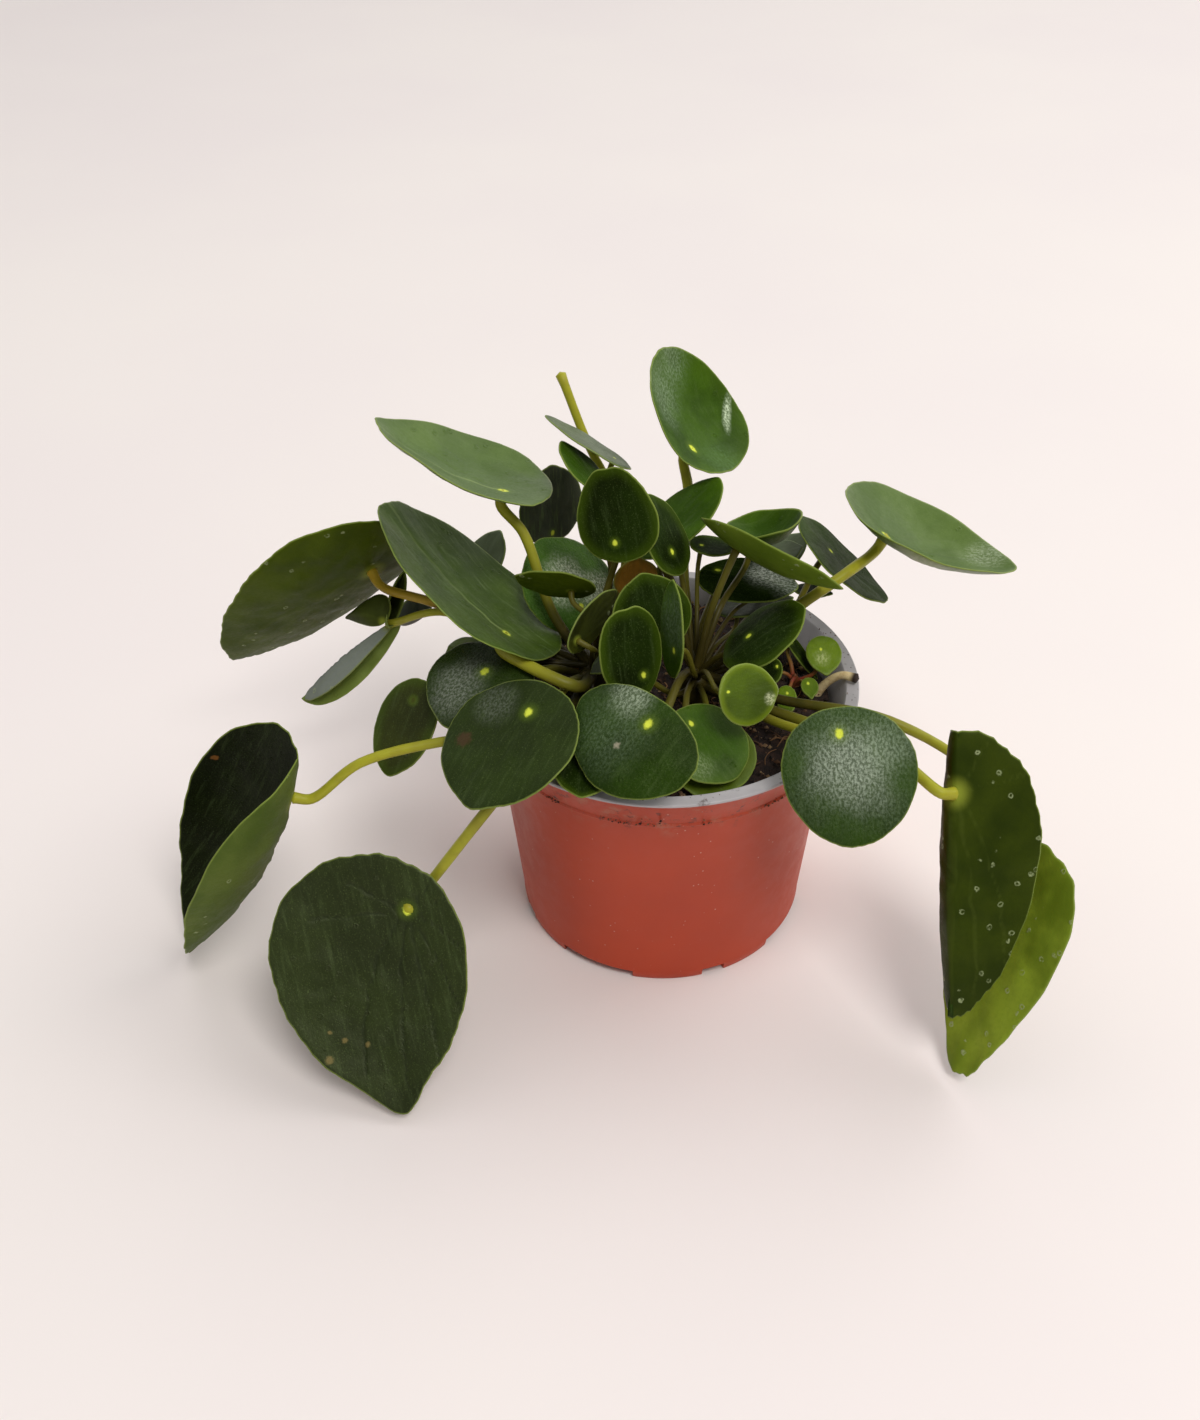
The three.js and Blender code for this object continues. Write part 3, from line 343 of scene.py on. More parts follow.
class Nodes:
    """Short calls for the nodes of a material or a world."""

    def __init__(self, made):
        made.use_nodes = True
        self.tree = made.node_tree

    def feed(self, sockets, values):
        """Links each value that is a node's output to its socket, and sets the others."""
        for key, value in values.items():
            if isinstance(value, bpy.types.NodeSocket):
                self.tree.links.new(value, sockets[key])
            else:
                sockets[key].default_value = linear(value) if isinstance(value, str) else value

    def node(self, kind, inputs, output=0, **settings):
        made = self.tree.nodes.new(kind)
        for key, value in settings.items():
            setattr(made, key, value)
        self.feed(made.inputs, inputs)
        return made.outputs[output]

    def attribute(self, name, output="Fac"):
        return self.node("ShaderNodeAttribute", {}, output, attribute_name=name)

    def place_from(self, origin):
        return self.node("ShaderNodeTexCoord", {}, origin)

    def part_of(self, vector, axis):
        return self.node("ShaderNodeSeparateXYZ", {0: vector}, axis)

    def math(self, operation, *values):
        return self.node("ShaderNodeMath", dict(enumerate(values)), operation=operation)

    def times(self, first, *others):
        for other in others:
            first = self.math("MULTIPLY", first, other)
        return first

    def strayed(self, distance, unevenness, amount):
        """A distance made uneven by a noise."""
        return self.math("ADD", distance, self.times(self.math("SUBTRACT", unevenness, 0.5), amount))

    def vector(self, operation, *values):
        output = "Value" if operation in ("LENGTH", "DISTANCE") else "Vector"
        return self.node("ShaderNodeVectorMath", dict(enumerate(values)), output, operation=operation)

    def span(self, value, low, high, start=0.0, end=1.0):
        """A smooth step from start to end while the value goes from low to high."""
        inputs = dict(enumerate((value, low, high, start, end)))
        return self.node("ShaderNodeMapRange", inputs, interpolation_type="SMOOTHSTEP")

    def mix(self, share, first, second):
        return self.node("ShaderNodeMix", {0: share, 6: first, 7: second}, 2, data_type="RGBA")

    def tinted(self, colour, *tints):
        """The colour, mixed with each tint in turn by a smooth step of its value."""
        for tint, value, *step in tints:
            colour = self.mix(self.span(value, *step), colour, tint)
        return colour

    def noise(self, vector, scale, detail=3.0, rough=0.5, output=0):
        inputs = dict(Vector=vector, Scale=scale, Detail=detail, Roughness=rough)
        return self.node("ShaderNodeTexNoise", inputs, output)

    def cells(self, vector, scale, feature="F1", output="Distance"):
        return self.node("ShaderNodeTexVoronoi", dict(Vector=vector, Scale=scale), output, feature=feature)

    def bump(self, height, strength, distance, **before):
        return self.node("ShaderNodeBump", dict(Height=height, Strength=strength, Distance=distance) | before)


class Shader(Nodes):
    """One material with a Principled shader."""

    def __init__(self, name, colour, rough):
        self.material = bpy.data.materials.new(name)
        super().__init__(self.material)
        self.material.diffuse_color = linear(colour)
        self.finish(colour, rough)

    def finish(self, colour, rough=None, normal=None, shine=None):
        given = {"Base Color": colour, "Roughness": rough, "Normal": normal, "Specular IOR Level": shine}
        told = {key: value for key, value in given.items() if value is not None}
        self.feed(self.tree.nodes["Principled BSDF"].inputs, told)
        return self.material


def linked(name, data):
    made = bpy.data.objects.new(name, data)
    bpy.context.scene.collection.objects.link(made)
    return made


def mesh_object(name, points, faces, values=None, smooth=True):
    """A mesh from points in millimetres, with named numbers or vectors on its points."""
    mesh = bpy.data.meshes.new(name)
    mesh.from_pydata((np.asarray(points, float) * MM).tolist(), [], [tuple(f) for f in faces])
    for key, data in (values or {}).items():
        data = np.asarray(data, np.float32)
        kind, field = ("FLOAT", "value") if data.ndim == 1 else ("FLOAT_VECTOR", "vector")
        mesh.attributes.new(key, kind, "POINT").data.foreach_set(field, data.ravel())
    mesh.polygons.foreach_set("use_smooth", [smooth] * len(mesh.polygons))
    mesh.update()
    return linked(name, mesh)


def dressed(made, material, slot, *nodes):
    made.data.materials.append(material)
    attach(made, "root")
    if nodes:
        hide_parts(*nodes)
    return made


def unit(v):
    return v / np.linalg.norm(v)


def polar(radius, angle):
    return radius * math.cos(angle), radius * math.sin(angle)


def angles(sides):
    return [side / sides * 2 * math.pi for side in range(sides)]


def circle(radius, sides):
    """The corners of a level circle round the pot's axis."""
    return [polar(radius, angle) for angle in angles(sides)]


def pairs(start, sides):
    """Each point of the ring that starts there, with the next point of the ring."""
    return [(start + side, start + (side + 1) % sides) for side in range(sides)]


def band(start, sides):
    """The faces between the ring of points that starts there and the ring after it."""
    return [(a, b, b + sides, a + sides) for a, b in pairs(start, sides)]


def blade_axes(leaf):
    """Where the stalk meets the blade, its directions along, left and out, and its reach to the tip."""
    at = np.array(leaf["at"], float)
    tip = np.array(leaf["tip"], float)
    along = unit(tip - at)
    left = unit(np.cross((0, 0, 1), along))
    roll = math.radians(leaf["roll"])
    left = left * math.cos(roll) + np.cross(along, left) * math.sin(roll)
    return at, along, left, np.cross(along, left), np.linalg.norm(tip - at)


def placed(leaf, x, y, lift):
    """Flat blade points, bent up evenly and at the crease on each side, and set in space."""
    at, along, left, out, _ = blade_axes(leaf)
    points = at + np.outer(x, along)
    for k, chosen in enumerate((y > 0, y <= 0)):
        sharp = math.radians(leaf["crease"][k])
        way, rise = np.abs(y[chosen]), lift[chosen]
        turn = way * math.radians(leaf["fold"][k]) / (leaf["width"] / 2)
        chord = way * np.sinc(turn / 2 / math.pi)
        sideways = chord * np.cos(turn / 2 + sharp) - rise * np.sin(turn + sharp)
        height = chord * np.sin(turn / 2 + sharp) + rise * np.cos(turn + sharp)
        points[chosen] += np.outer(np.sign(y[chosen]) * sideways, left) + np.outer(height, out)
    return points


def smooth_noise(x, y, scale, seed):
    return np.array([noise.noise((a / scale, b / scale, seed * 7.3)) for a, b in zip(x, y)])


def vein_line(leaf, length, degrees):
    """A main vein, from the stalk to near the edge. Those ahead of the stalk bow towards the tip."""
    way = np.linspace(0, 1, VEIN_POINTS)
    ahead = abs(degrees) < 90
    reach = length - length * leaf["base"] if ahead else length * leaf["base"] * 1.1
    if degrees == 0:
        return way * reach * 0.97, 0 * way
    angle = math.radians(degrees)
    bow = angle * (1 - 0.45 * way) if ahead else angle * np.ones(VEIN_POINTS)
    breadth = leaf["width"] / 2 * 0.9 + abs(leaf["side"]) * 0.3
    return way * reach * 0.93 * np.cos(bow), way * breadth * np.sin(bow) * (1.35 if ahead else 1.0)


def vein_distance(leaf, x, y, length):
    """Distance in mm from each point to the nearest main vein, all of them slightly crooked."""
    from_stalk = np.clip(np.hypot(x, y) / 8, 0, 1)
    bend_x = 1.3 * smooth_noise(x, y, 7, leaf["width"])
    bend_y = 1.3 * smooth_noise(x, y, 7, leaf["width"] + 9)
    x, y = x + bend_x * from_stalk, y + bend_y * from_stalk
    best = np.full(len(x), 99.0)
    for degrees in VEIN_TURNS:
        vein_x, vein_y = vein_line(leaf, length, degrees)
        for ax, ay, bx, by in zip(vein_x, vein_y, vein_x[1:], vein_y[1:]):
            dx, dy = bx - ax, by - ay
            share = np.clip(((x - ax) * dx + (y - ay) * dy) / (dx * dx + dy * dy + 1e-9), 0, 1)
            best = np.minimum(best, np.hypot(x - ax - share * dx, y - ay - share * dy))
    return best


def blade_grid(leaf, index):
    """The flat blade as rings round its middle: places, shares of the radius, lifts and its length."""
    segments, rings = leaf["size"]
    length = blade_axes(leaf)[4] / (1 - leaf["base"])
    middle = length * (0.5 - leaf["base"])
    half_width = leaf["width"] / 2
    side = leaf["side"]
    share = 1 - (1 - np.linspace(0, 1, rings + 1)[1:]) ** 1.25
    r, angle = [grid.ravel() for grid in np.meshgrid(share, np.array(angles(segments)), indexing="ij")]
    from_tip = np.where(angle > math.pi, angle - 2 * math.pi, angle)
    drawn_out = leaf["point"] * (np.exp(-(from_tip**2) / TIP_SPREAD) - 1)
    scallops = 26 + 5 * (index % 4)
    uneven = 0.6 + 0.4 * np.sin(3 * angle + index)
    teeth = np.sin(scallops * angle + index) * uneven + np.sin(12 * angle + 2 * index)
    reach = r * (1 + leaf["ragged"] * teeth * r**6)
    x = middle + reach * (length / 2 * np.cos(angle) + drawn_out)
    y = reach * half_width * np.sin(angle) * (1 - leaf["egg"] * np.cos(angle)) + side
    x, y, r, angle = [np.concatenate(pair) for pair in (([middle], x), ([side], y), ([0], r), ([0], angle))]

    def lift_at(radius, turn):
        wave = EDGE_WAVE * leaf["width"] * np.sin((5 + index % 3) * turn + index)
        return leaf["cup"] * radius**2 + wave * radius**3

    stalk_across, stalk_along = side / half_width, middle / (length / 2)
    stalk_lift = lift_at(math.hypot(stalk_across, stalk_along), math.atan2(-stalk_across, -stalk_along))
    return x, y, r, lift_at(r, angle) - stalk_lift, length, middle


def blade_skin(segments, rings):
    """The faces of one side of a blade: triangles round its middle, then quads out to its edge."""
    skin = []
    for a, b in pairs(1, segments):
        skin.append((0, a, b))
        for out in range(segments, rings * segments, segments):
            skin.append((a + out - segments, a + out, b + out, b + out - segments))
    return skin


def point_normals(points, faces):
    triangles = np.array([f[:3] for f in faces] + [(f[0], f[2], f[3]) for f in faces if len(f) == 4])
    first, second, third = [points[triangles[:, k]] for k in range(3)]
    cross = np.cross(second - first, third - first)
    normals = np.zeros_like(points)
    for k in range(3):
        np.add.at(normals, triangles[:, k], cross)
    return normals / (np.linalg.norm(normals, axis=1)[:, None] + 1e-12)


def blade_parts(leaf, index):
    """Points, faces and painted values of one blade: two skins joined round a rounded edge."""
    segments, rings = leaf["size"]
    x, y, r, lift, length, middle = blade_grid(leaf, index)
    veins = vein_distance(leaf, x, y, length)
    from_stalk = np.hypot(x, y)
    swell = 0.45 * smooth_noise(x, y, 9, index) + 0.22 * smooth_noise(x, y, 3.6, index + 50)
    groove = -0.12 * np.exp(-((veins / 0.9) ** 2)) * np.clip(1.3 - from_stalk / length, 0, 1)
    relief = leaf["width"] / 45 * np.clip(from_stalk / 6, 0, 1) * (1 - 0.8 * r**4)
    surface = placed(leaf, x, y, lift + relief * (swell + groove))
    skin = blade_skin(segments, rings)
    thinning = (np.clip(r, THINNING_START, 1) - THINNING_START) / THINNING_SPAN
    thick = BLADE / 2 * np.sqrt(np.clip(1 - thinning**2, 0.12, 1))
    offset = point_normals(surface, skin) * thick[:, None]
    count = len(surface)
    faces = skin + [tuple(count + i for i in reversed(f)) for f in skin]
    faces += [(a, count + a, count + b, b) for a, b in pairs(count - segments, segments)]
    radius = np.hypot(x - middle, y - leaf["side"]) / np.maximum(r, 1e-6)
    rim = (1 - r) * np.where(r > 0, radius, leaf["width"] / 2)
    place = np.stack([x, y, np.full(count, index * 31.0)], -1)
    upper = np.repeat([1, 0], count)
    values = dict(rim=np.tile(rim, 2), vein=np.tile(veins, 2), upper=upper, place=np.tile(place, (2, 1)))
    return np.concatenate([surface + offset, surface - offset]), faces, values


class Skin(Shader):
    """The material of a blade, from the values painted on its points.

    size is the fineness of the blade over that of a large one: it sets the size of its marks.
    """

    def __init__(self, name, kind, size):
        super().__init__("leaf_" + name, kind["upper"], kind["rough"])
        self.kind = kind
        self.size = size
        self.place = self.attribute("place", "Vector")
        self.rim = self.attribute("rim")
        self.vein = self.attribute("vein")
        self.flat = self.vector("MULTIPLY", self.place, (1, 1, 0))
        self.from_stalk = self.vector("LENGTH", self.flat)
        self.broad = self.noise(self.place, 0.06, 3)
        self.fine = self.noise(self.place, 0.9, 5, 0.6)

    def stretched(self, along, aside):
        return self.vector("MULTIPLY", self.place, (along, aside, 1))

    def upper_side(self, sheens):
        kind = self.kind
        top = self.tinted(
            kind["deep"],
            (kind["upper"], self.broad, 0.38, 0.62),
            (kind["deep"], self.fine, 0.4, 0.8, 0, 0.4),
            ("#7f9454", self.noise(self.place, 2.6, 2, 0.6), 0.55, 0.8, 0, 0.25),
            ("#6f8350", self.noise(self.stretched(0.12, 1), 0.7, 4, 0.6), 0.5, 0.75, 0, kind["streak"]),
            # Darker along the veins: painted shade in the vein grooves.
            ("#10170a", self.vein, 0.1, 0.9, 0.5 * max(kind["crease"], 0.12), 0),
        )
        # Painted light: the rim made lighter where light comes through the blade.
        if kind["glow"]:
            top = self.tinted(top, (kind["lit"], self.rim, 0, 7 * self.size, kind["glow"], 0))
        # Painted highlights and reflections, mixed into the upper side's colour.
        for sheen in sheens:
            top = self.with_painted_glint(top, *sheen)
        if kind["midrib"]:
            top = self.with_midrib(top)
        return self.with_dot(top)

    def with_painted_glint(self, top, x, y, reach, strength, colour, slant=None):
        """A painted highlight: a patch of wrinkled glint, round or drawn out along a slanting line."""
        wrinkles = self.noise(self.stretched(1, 1.35), 1.0, 5, 0.72)
        far = self.vector("DISTANCE", self.flat, (x, y, 0))
        if slant is not None:
            inputs = dict(Vector=self.flat, Center=(x, y, 0), Angle=-math.radians(slant))
            turned = self.node("ShaderNodeVectorRotate", inputs, rotation_type="Z_AXIS")
            aside = self.vector("SUBTRACT", turned, (x, y, 0))
            far = self.vector("LENGTH", self.vector("MULTIPLY", aside, (0.22, 1, 1)))
        blurred = self.strayed(far, self.broad, reach * 0.8)
        fading = self.span(blurred, reach * 0.2, reach, strength, 0)
        return self.mix(self.times(fading, self.span(wrinkles, 0.43, 0.61, 0.2, 1)), top, colour)

    def with_midrib(self, top):
        """A pale line from the stalk towards the tip."""
        along = self.part_of(self.flat, "X")
        aside = self.math("ABSOLUTE", self.part_of(self.flat, "Y"))
        line = self.span(aside, 0.1, 0.9, self.kind["midrib"], 0)
        ahead = self.math("GREATER_THAN", along, 0)
        return self.mix(self.times(line, self.span(along, 0, 30, 1, 0.3), ahead), top, "#93a562")

    def with_dot(self, top):
        """The pale dot over the stalk, with a faint halo."""
        size = self.size
        long_dot = self.vector("LENGTH", self.vector("MULTIPLY", self.flat, (0.75, 1, 1)))
        ragged_dot = self.math("ADD", long_dot, self.times(self.fine, 1.4 * size))
        return self.tinted(
            top,
            ("#6f8a24", self.from_stalk, 0.6 * size, 4.2 * size, 0.35, 0),
            (self.kind["dot"], ragged_dot, 1.3 * size, 2.2 * size, 1, 0),
        )

    def pores(self):
        """Small pale rings, strewn over the underside."""
        crooked = self.vector("MULTIPLY", self.noise(self.flat, 0.8, 2, output=1), (1.1, 1.1, 1.1))
        place = self.vector("ADD", self.flat, crooked)
        from_ring = self.math("ABSOLUTE", self.math("SUBTRACT", self.cells(place, 0.2), 0.13))
        chosen = self.span(self.cells(place, 0.2, output="Color"), 0.38, 0.46)
        return self.times(self.span(from_ring, 0.0, 0.075, 1, 0), chosen, self.span(self.fine, 0.3, 0.6))

    def under_side(self, pores):
        under = self.tinted(
            self.kind["under"],
            (self.kind["shade"], self.broad, 0.35, 0.65),
            (self.kind["shade"], self.fine, 0.4, 0.8, 0, 0.3),
            ("#8b9a45", self.vein, 0.1, 0.9, 0.05, 0),
            ("#8f9a34", self.from_stalk, 0.8 * self.size, 6 * self.size, 0.85, 0),
        )
        return self.mix(self.times(pores, 0.75), under, "#a9b584")

    def with_mark(self, colour, x, y, reach, tint):
        blot = self.strayed(self.vector("DISTANCE", self.flat, (x, y, 0)), self.fine, reach * 1.4)
        return self.tinted(colour, (tint, blot, reach * 0.4, reach, 0.75, 0))

    def relief(self, pores):
        crinkle = self.kind["crinkle"]
        wrinkled = self.noise(self.stretched(1, 1.7), 1.1, 4, 0.6)
        normal = self.bump(wrinkled, 0.75 * crinkle, 0.00045)
        normal = self.bump(self.cells(self.place, 1.0, "SMOOTH_F1"), 0.35 * crinkle, 0.0002, Normal=normal)
        groove = self.span(self.vein, 0.0, 1.1)
        normal = self.bump(groove, 0.08 + 0.7 * self.kind["crease"], 0.00025, Normal=normal)
        return self.bump(pores, 0.5, 0.0004, Normal=normal)


def leaf_material(name, leaf):
    kind = LOOKS[leaf["look"]]
    s = Skin(name, kind, SIZE_SHARE[leaf["size"]])
    pores = s.pores()
    colour = s.mix(s.attribute("upper"), s.under_side(pores), s.upper_side(leaf["sheens"]))
    # A pale line along the edge: painted highlight where the edge catches the light.
    colour = s.tinted(colour, ("#8a9a48", s.rim, 0.05, 0.55, 0.7, 0))
    for mark in leaf["marks"]:
        colour = s.with_mark(colour, *mark)
    rough = s.span(s.fine, 0.3, 0.7, kind["rough"] - 0.05, kind["rough"] + 0.07)
    s.feed(s.tree.nodes["Principled BSDF"].inputs, {"Specular Tint": "#f4ffcc"})
    return s.finish(colour, rough, s.relief(pores), kind["shine"])


def spline(points, per_span=8):
    """A centripetal curve through the points, as many steps for each span."""
    p = [np.array(v, float) for v in points]
    ends = [2 * p[0] - p[1]] + p + [2 * p[-1] - p[-2]]
    curve = []
    for k in range(len(p) - 1):
        a, b, c, d = ends[k : k + 4]
        t0, t1, t2 = [max(np.linalg.norm(v - u) ** 0.5, 1e-4) for u, v in ((a, b), (b, c), (c, d))]
        start = ((b - a) / t0 - (c - a) / (t0 + t1) + (c - b) / t1) * t1
        end = ((c - b) / t1 - (d - b) / (t1 + t2) + (d - c) / t2) * t1
        cubic = 2 * b - 2 * c + start + end
        square = -3 * b + 3 * c - 2 * start - end
        for t in np.arange(per_span) / per_span:
            curve.append(cubic * t**3 + square * t**2 + start * t + b)
    return np.array([*curve, p[-1]])


def tube(curve, radii, sides):
    """The points and faces of a closed tube along a curve. Its last two points are the tips of its ends."""
    tangents = np.gradient(curve, axis=0)
    tangents /= np.linalg.norm(tangents, axis=1)[:, None]
    across = np.cross(tangents[0], (0.3, 0.2, 1.0))
    points, faces = [], []
    for at, tangent, radius in zip(curve, tangents, radii):
        across = unit(across - tangent * np.dot(across, tangent))
        other = np.cross(tangent, across)
        spokes = [math.cos(angle) * across + math.sin(angle) * other for angle in angles(sides)]
        points += [at + radius * spoke for spoke in spokes]
    top = (len(curve) - 1) * sides
    for start in range(0, top, sides):
        faces += band(start, sides)
    first, last = len(points), len(points) + 1
    points.append(curve[0] - tangents[0] * radii[0] * 0.5)
    points.append(curve[-1] + tangents[-1] * radii[-1] * 0.5)
    for a, b in pairs(0, sides):
        faces.append((first, b, a))
        faces.append((last, top + a, top + b))
    return points, faces


class Pile:
    """Points, faces and painted values gathered from many small pieces into one mesh."""

    def __init__(self):
        self.points, self.faces, self.values = [], [], {}

    def add(self, points, faces, **values):
        start = len(self.points)
        self.points.extend(points)
        self.faces.extend(tuple(start + i for i in f) for f in faces)
        for key, value in values.items():
            many = list(value) if np.ndim(value) else [value] * len(points)
            self.values.setdefault(key, []).extend(many)

    def make(self, name, smooth=True):
        return mesh_object(name, self.points, self.faces, self.values, smooth=smooth)


def stalk_route(leaf, order):
    """The points of a stalk, from its stem up to its blade, which it meets from below and inwards."""
    at, _, _, out, _ = blade_axes(leaf)
    stem = STEMS[leaf["stem"]]
    root = np.array((*stem["foot"], stem["top"] - 1 - (order % 4) * 1.7), float)
    passes = [np.array(p, float) for p in leaf["via"]]
    if leaf["join"]:
        return [root, *passes, np.array(leaf["join"], float), at]
    last = passes[-1] if passes else root
    span = np.linalg.norm(at - last)
    inward = unit(unit(last - at) - out)
    meet = at - out * (0.7 + leaf["stalk"]) + inward * APPROACH * span
    if not passes:
        passes.append(root + (meet - root) * 0.45 + np.array((0, 0, 0.12 * span)))
    return [root, *passes, meet, at - out * 0.55]


def add_stalk(pile, points, radius, tone, flare=0.25):
    """A stalk, thicker at its root, a little thicker at its blade and slightly lumpy."""
    curve = spline(points)
    steps = np.linalg.norm(np.diff(curve, axis=0), axis=1)
    run = np.concatenate([[0], np.cumsum(steps)])
    total = run[-1]
    radii = radius * (1 + flare * np.exp(-run / 6) + 0.22 * np.exp((run - total) / 2.5))
    for k, at in enumerate(curve):
        radii[k] *= 1 + 0.05 * noise.noise(tuple(at / 4))
    points, faces = tube(curve, radii, STALK_SIDES)
    way = np.repeat(run / total, STALK_SIDES).tolist() + [0, 1]
    pile.add(points, faces, way=way, tone=tone)


def add_stem(pile, stem, seed):
    """A short upright stem, lumpy with leaf scars."""
    x, y = stem["foot"]
    points, faces = [], []
    for k, z in enumerate(np.linspace(SOIL_LEVEL - 8, stem["top"] + 0.6, STEM_STEPS + 1)):
        rise = k / STEM_STEPS
        shrink = 1 - 0.12 * rise - 0.75 * max(0, rise - 0.86) / 0.14
        for angle in angles(STEM_SIDES):
            lump = noise.noise((*polar(1.6, angle), z / 2.4 + seed))
            across, along = polar(stem["radius"] * shrink * (1 + 0.16 * lump), angle)
            points.append((x + across, y + along, z))
    for start in range(0, STEM_STEPS * STEM_SIDES, STEM_SIDES):
        faces += band(start, STEM_SIDES)
    faces.append(tuple(reversed(range(STEM_SIDES))))
    faces.append(tuple(range(STEM_STEPS * STEM_SIDES, (STEM_STEPS + 1) * STEM_SIDES)))
    # A tone of -0.6 darkens the stems: painted shade under the leaves.
    pile.add(points, faces, way=0.0, tone=-0.6)


def stalk_material(name, near, far):
    """near and far are its colours at the root and at the blade. A tone under 0 darkens it: painted shade."""
    s = Shader(name, far, 0.4)
    at = s.place_from("Object")
    tone = s.attribute("tone")
    colour = s.tinted(
        near,
        (far, s.attribute("way"), 0.2, 0.8),
        ("#7d6a2c", s.noise(at, 260, 4), 0.4, 0.8, 0, 0.3),
        ("#b5842c", tone, 0, 1, 0, 0.75),
        # A tone under 0 mixes in painted shade.
        ("#403812", tone, 0, -1, 0, 0.9),
    )
    streak = s.noise(at, 900, 2, 0.5)
    return s.finish(colour, None, s.bump(streak, 0.25, 0.0002), 0.2)


def dry_material():
    s = Shader("dry_stalk", "#9a7a48", 0.75)
    grain = s.noise(s.place_from("Object"), 700, 4, 0.6)
    dark_end = ("#2a1a10", s.attribute("way"), 0.88, 0.97)
    colour = s.tinted("#ecd6a2", ("#bd9860", grain, 0.35, 0.85), dark_end)
    return s.finish(colour, None, s.bump(grain, 0.6, 0.0003))


def stalks_from(*stems):
    """The stalks of the leaves on those stems, in one pile."""
    pile = Pile()
    for order, leaf in enumerate(LEAVES):
        if leaf["stem"] in stems:
            add_stalk(pile, stalk_route(leaf, order), leaf["stalk"], leaf["tone"])
    return pile


def build_stalks():
    pile = stalks_from("left", "right")
    root = np.array((*RIGHT_STEM["foot"], RIGHT_STEM["top"] - 3), float)
    add_stalk(pile, [root, *BARE_STALK], 1.4, 0.1)
    add_stem(pile, LEFT_STEM, 3.0)
    add_stem(pile, RIGHT_STEM, 8.0)
    # The stalks are darker at the root: partly their own brown-olive, partly painted shade where they gather
    # in the crown.
    dressed(pile.make("stalks"), stalk_material("stalk", "#343010", "#a8a62c"), "stalk", "stems")
    pile = stalks_from("offset")
    add_stem(pile, OFFSET_STEM, 5.0)
    material = stalk_material("reddish_stalk", "#8c3a2c", "#8a7430")
    dressed(pile.make("offset_stalks"), material, "red_stalk", "plantlet_stems")
    pile = Pile()
    add_stalk(pile, DRY_STALK, 1.2, 0.0, 0.4)
    dressed(pile.make("dry_stalk_piece"), dry_material(), "dry_stalk", "dry_stalk")


def build_leaves():
    """Blades of one look and size share a material, unless they have marks or painted glints of their own."""
    slots = {row["node"]: row["material_slot"] for row in frame["record"]["subparts"]}
    materials = {}
    for index, leaf in enumerate(LEAVES):
        slot = slots[leaf["name"]]
        for lobe in leaf["lobes"]:
            made = mesh_object(lobe["name"], *blade_parts(lobe, index))
            dressed(made, leaf_material(lobe["look"], lobe), slot)
        made = mesh_object(leaf["name"] + "_blade", *blade_parts(leaf, index))
        title = leaf["name"] if leaf["marks"] or leaf["sheens"] else leaf["look"]
        key = (title, leaf["size"])
        if key not in materials:
            materials[key] = leaf_material(title, leaf)
        dressed(made, materials[key], slot, leaf["name"])


def pot_profile():
    """Radius and height of the pot's section: up its outside, round its lip and down its inside."""
    top = POT_HEIGHT
    under = top - LIP_THICKNESS
    above_crease = CREASE_RADIUS + CREASE_STEP / 2
    below_crease = CREASE_RADIUS - CREASE_STEP
    inner_edge = LIP_RADIUS - LIP_WIDTH
    inner_foot = BASE_RADIUS - WALL
    outer = [
        (0, 0),
        (BASE_RADIUS - BASE_BEVEL, 0),
        (BASE_RADIUS - 0.25, 0.2),
        (BASE_RADIUS, BASE_BEVEL),
        (BASE_RADIUS + 0.35, FOOT_RING_HEIGHT),
        (BASE_RADIUS + 0.2, FOOT_RING_HEIGHT + 0.4),
        (below_crease, CREASE_HEIGHT - 1.1),
        (below_crease + 0.1, CREASE_HEIGHT - 0.7),
        (above_crease, CREASE_HEIGHT - 0.1),
        (above_crease, CREASE_HEIGHT + 0.25),
        (CREASE_RADIUS, CREASE_HEIGHT + 0.9),
        (BAND_TOP_RADIUS - 0.1, under - 0.5),
        (BAND_TOP_RADIUS + 0.4, under),
    ]
    lip = [
        (LIP_RADIUS - LIP_ROUND, under),
        (LIP_RADIUS, under + LIP_ROUND),
        (LIP_RADIUS, top - LIP_ROUND),
        (LIP_RADIUS - LIP_ROUND, top),
        (inner_edge + 2 * LIP_ROUND, top),
        (inner_edge, top - 0.5),
    ]
    inner = [
        (CREASE_RADIUS - WALL, CREASE_HEIGHT),
        (inner_foot, FLOOR_THICKNESS + 0.6),
        (inner_foot - 0.6, FLOOR_THICKNESS),
        (0, FLOOR_THICKNESS),
    ]
    return outer + lip + inner


def revolved(name, profile, sides):
    """A profile turned round the pot's axis, on which it starts and ends."""
    points = [(0, 0, profile[0][1]), (0, 0, profile[-1][1])]
    for radius, z in profile[1:-1]:
        points += [(x, y, z) for x, y in circle(radius, sides)]
    last = len(points) - sides
    faces = []
    for a, b in pairs(0, sides):
        faces.append((0, 2 + b, 2 + a))
        faces.append((1, last + a, last + b))
    for start in range(2, last, sides):
        faces += band(start, sides)
    return mesh_object(name, points, faces)


def cutter(name, corners, height, low):
    """An upright prism on those corners."""
    count = len(corners)
    points = [(x, y, z) for z in (low, low + height) for x, y in corners]
    faces = [tuple(reversed(range(count))), tuple(range(count, 2 * count))] + band(0, count)
    return mesh_object(name, points, faces, smooth=False)


def cut(target, tool):
    change = target.modifiers.new("cut", "BOOLEAN")
    change.object = tool
    change.operation = "DIFFERENCE"
    change.solver = "EXACT"
    depsgraph = bpy.context.evaluated_depsgraph_get()
    mesh = bpy.data.meshes.new_from_object(target.evaluated_get(depsgraph))
    target.modifiers.remove(change)
    target.data = mesh
    bpy.data.objects.remove(tool)


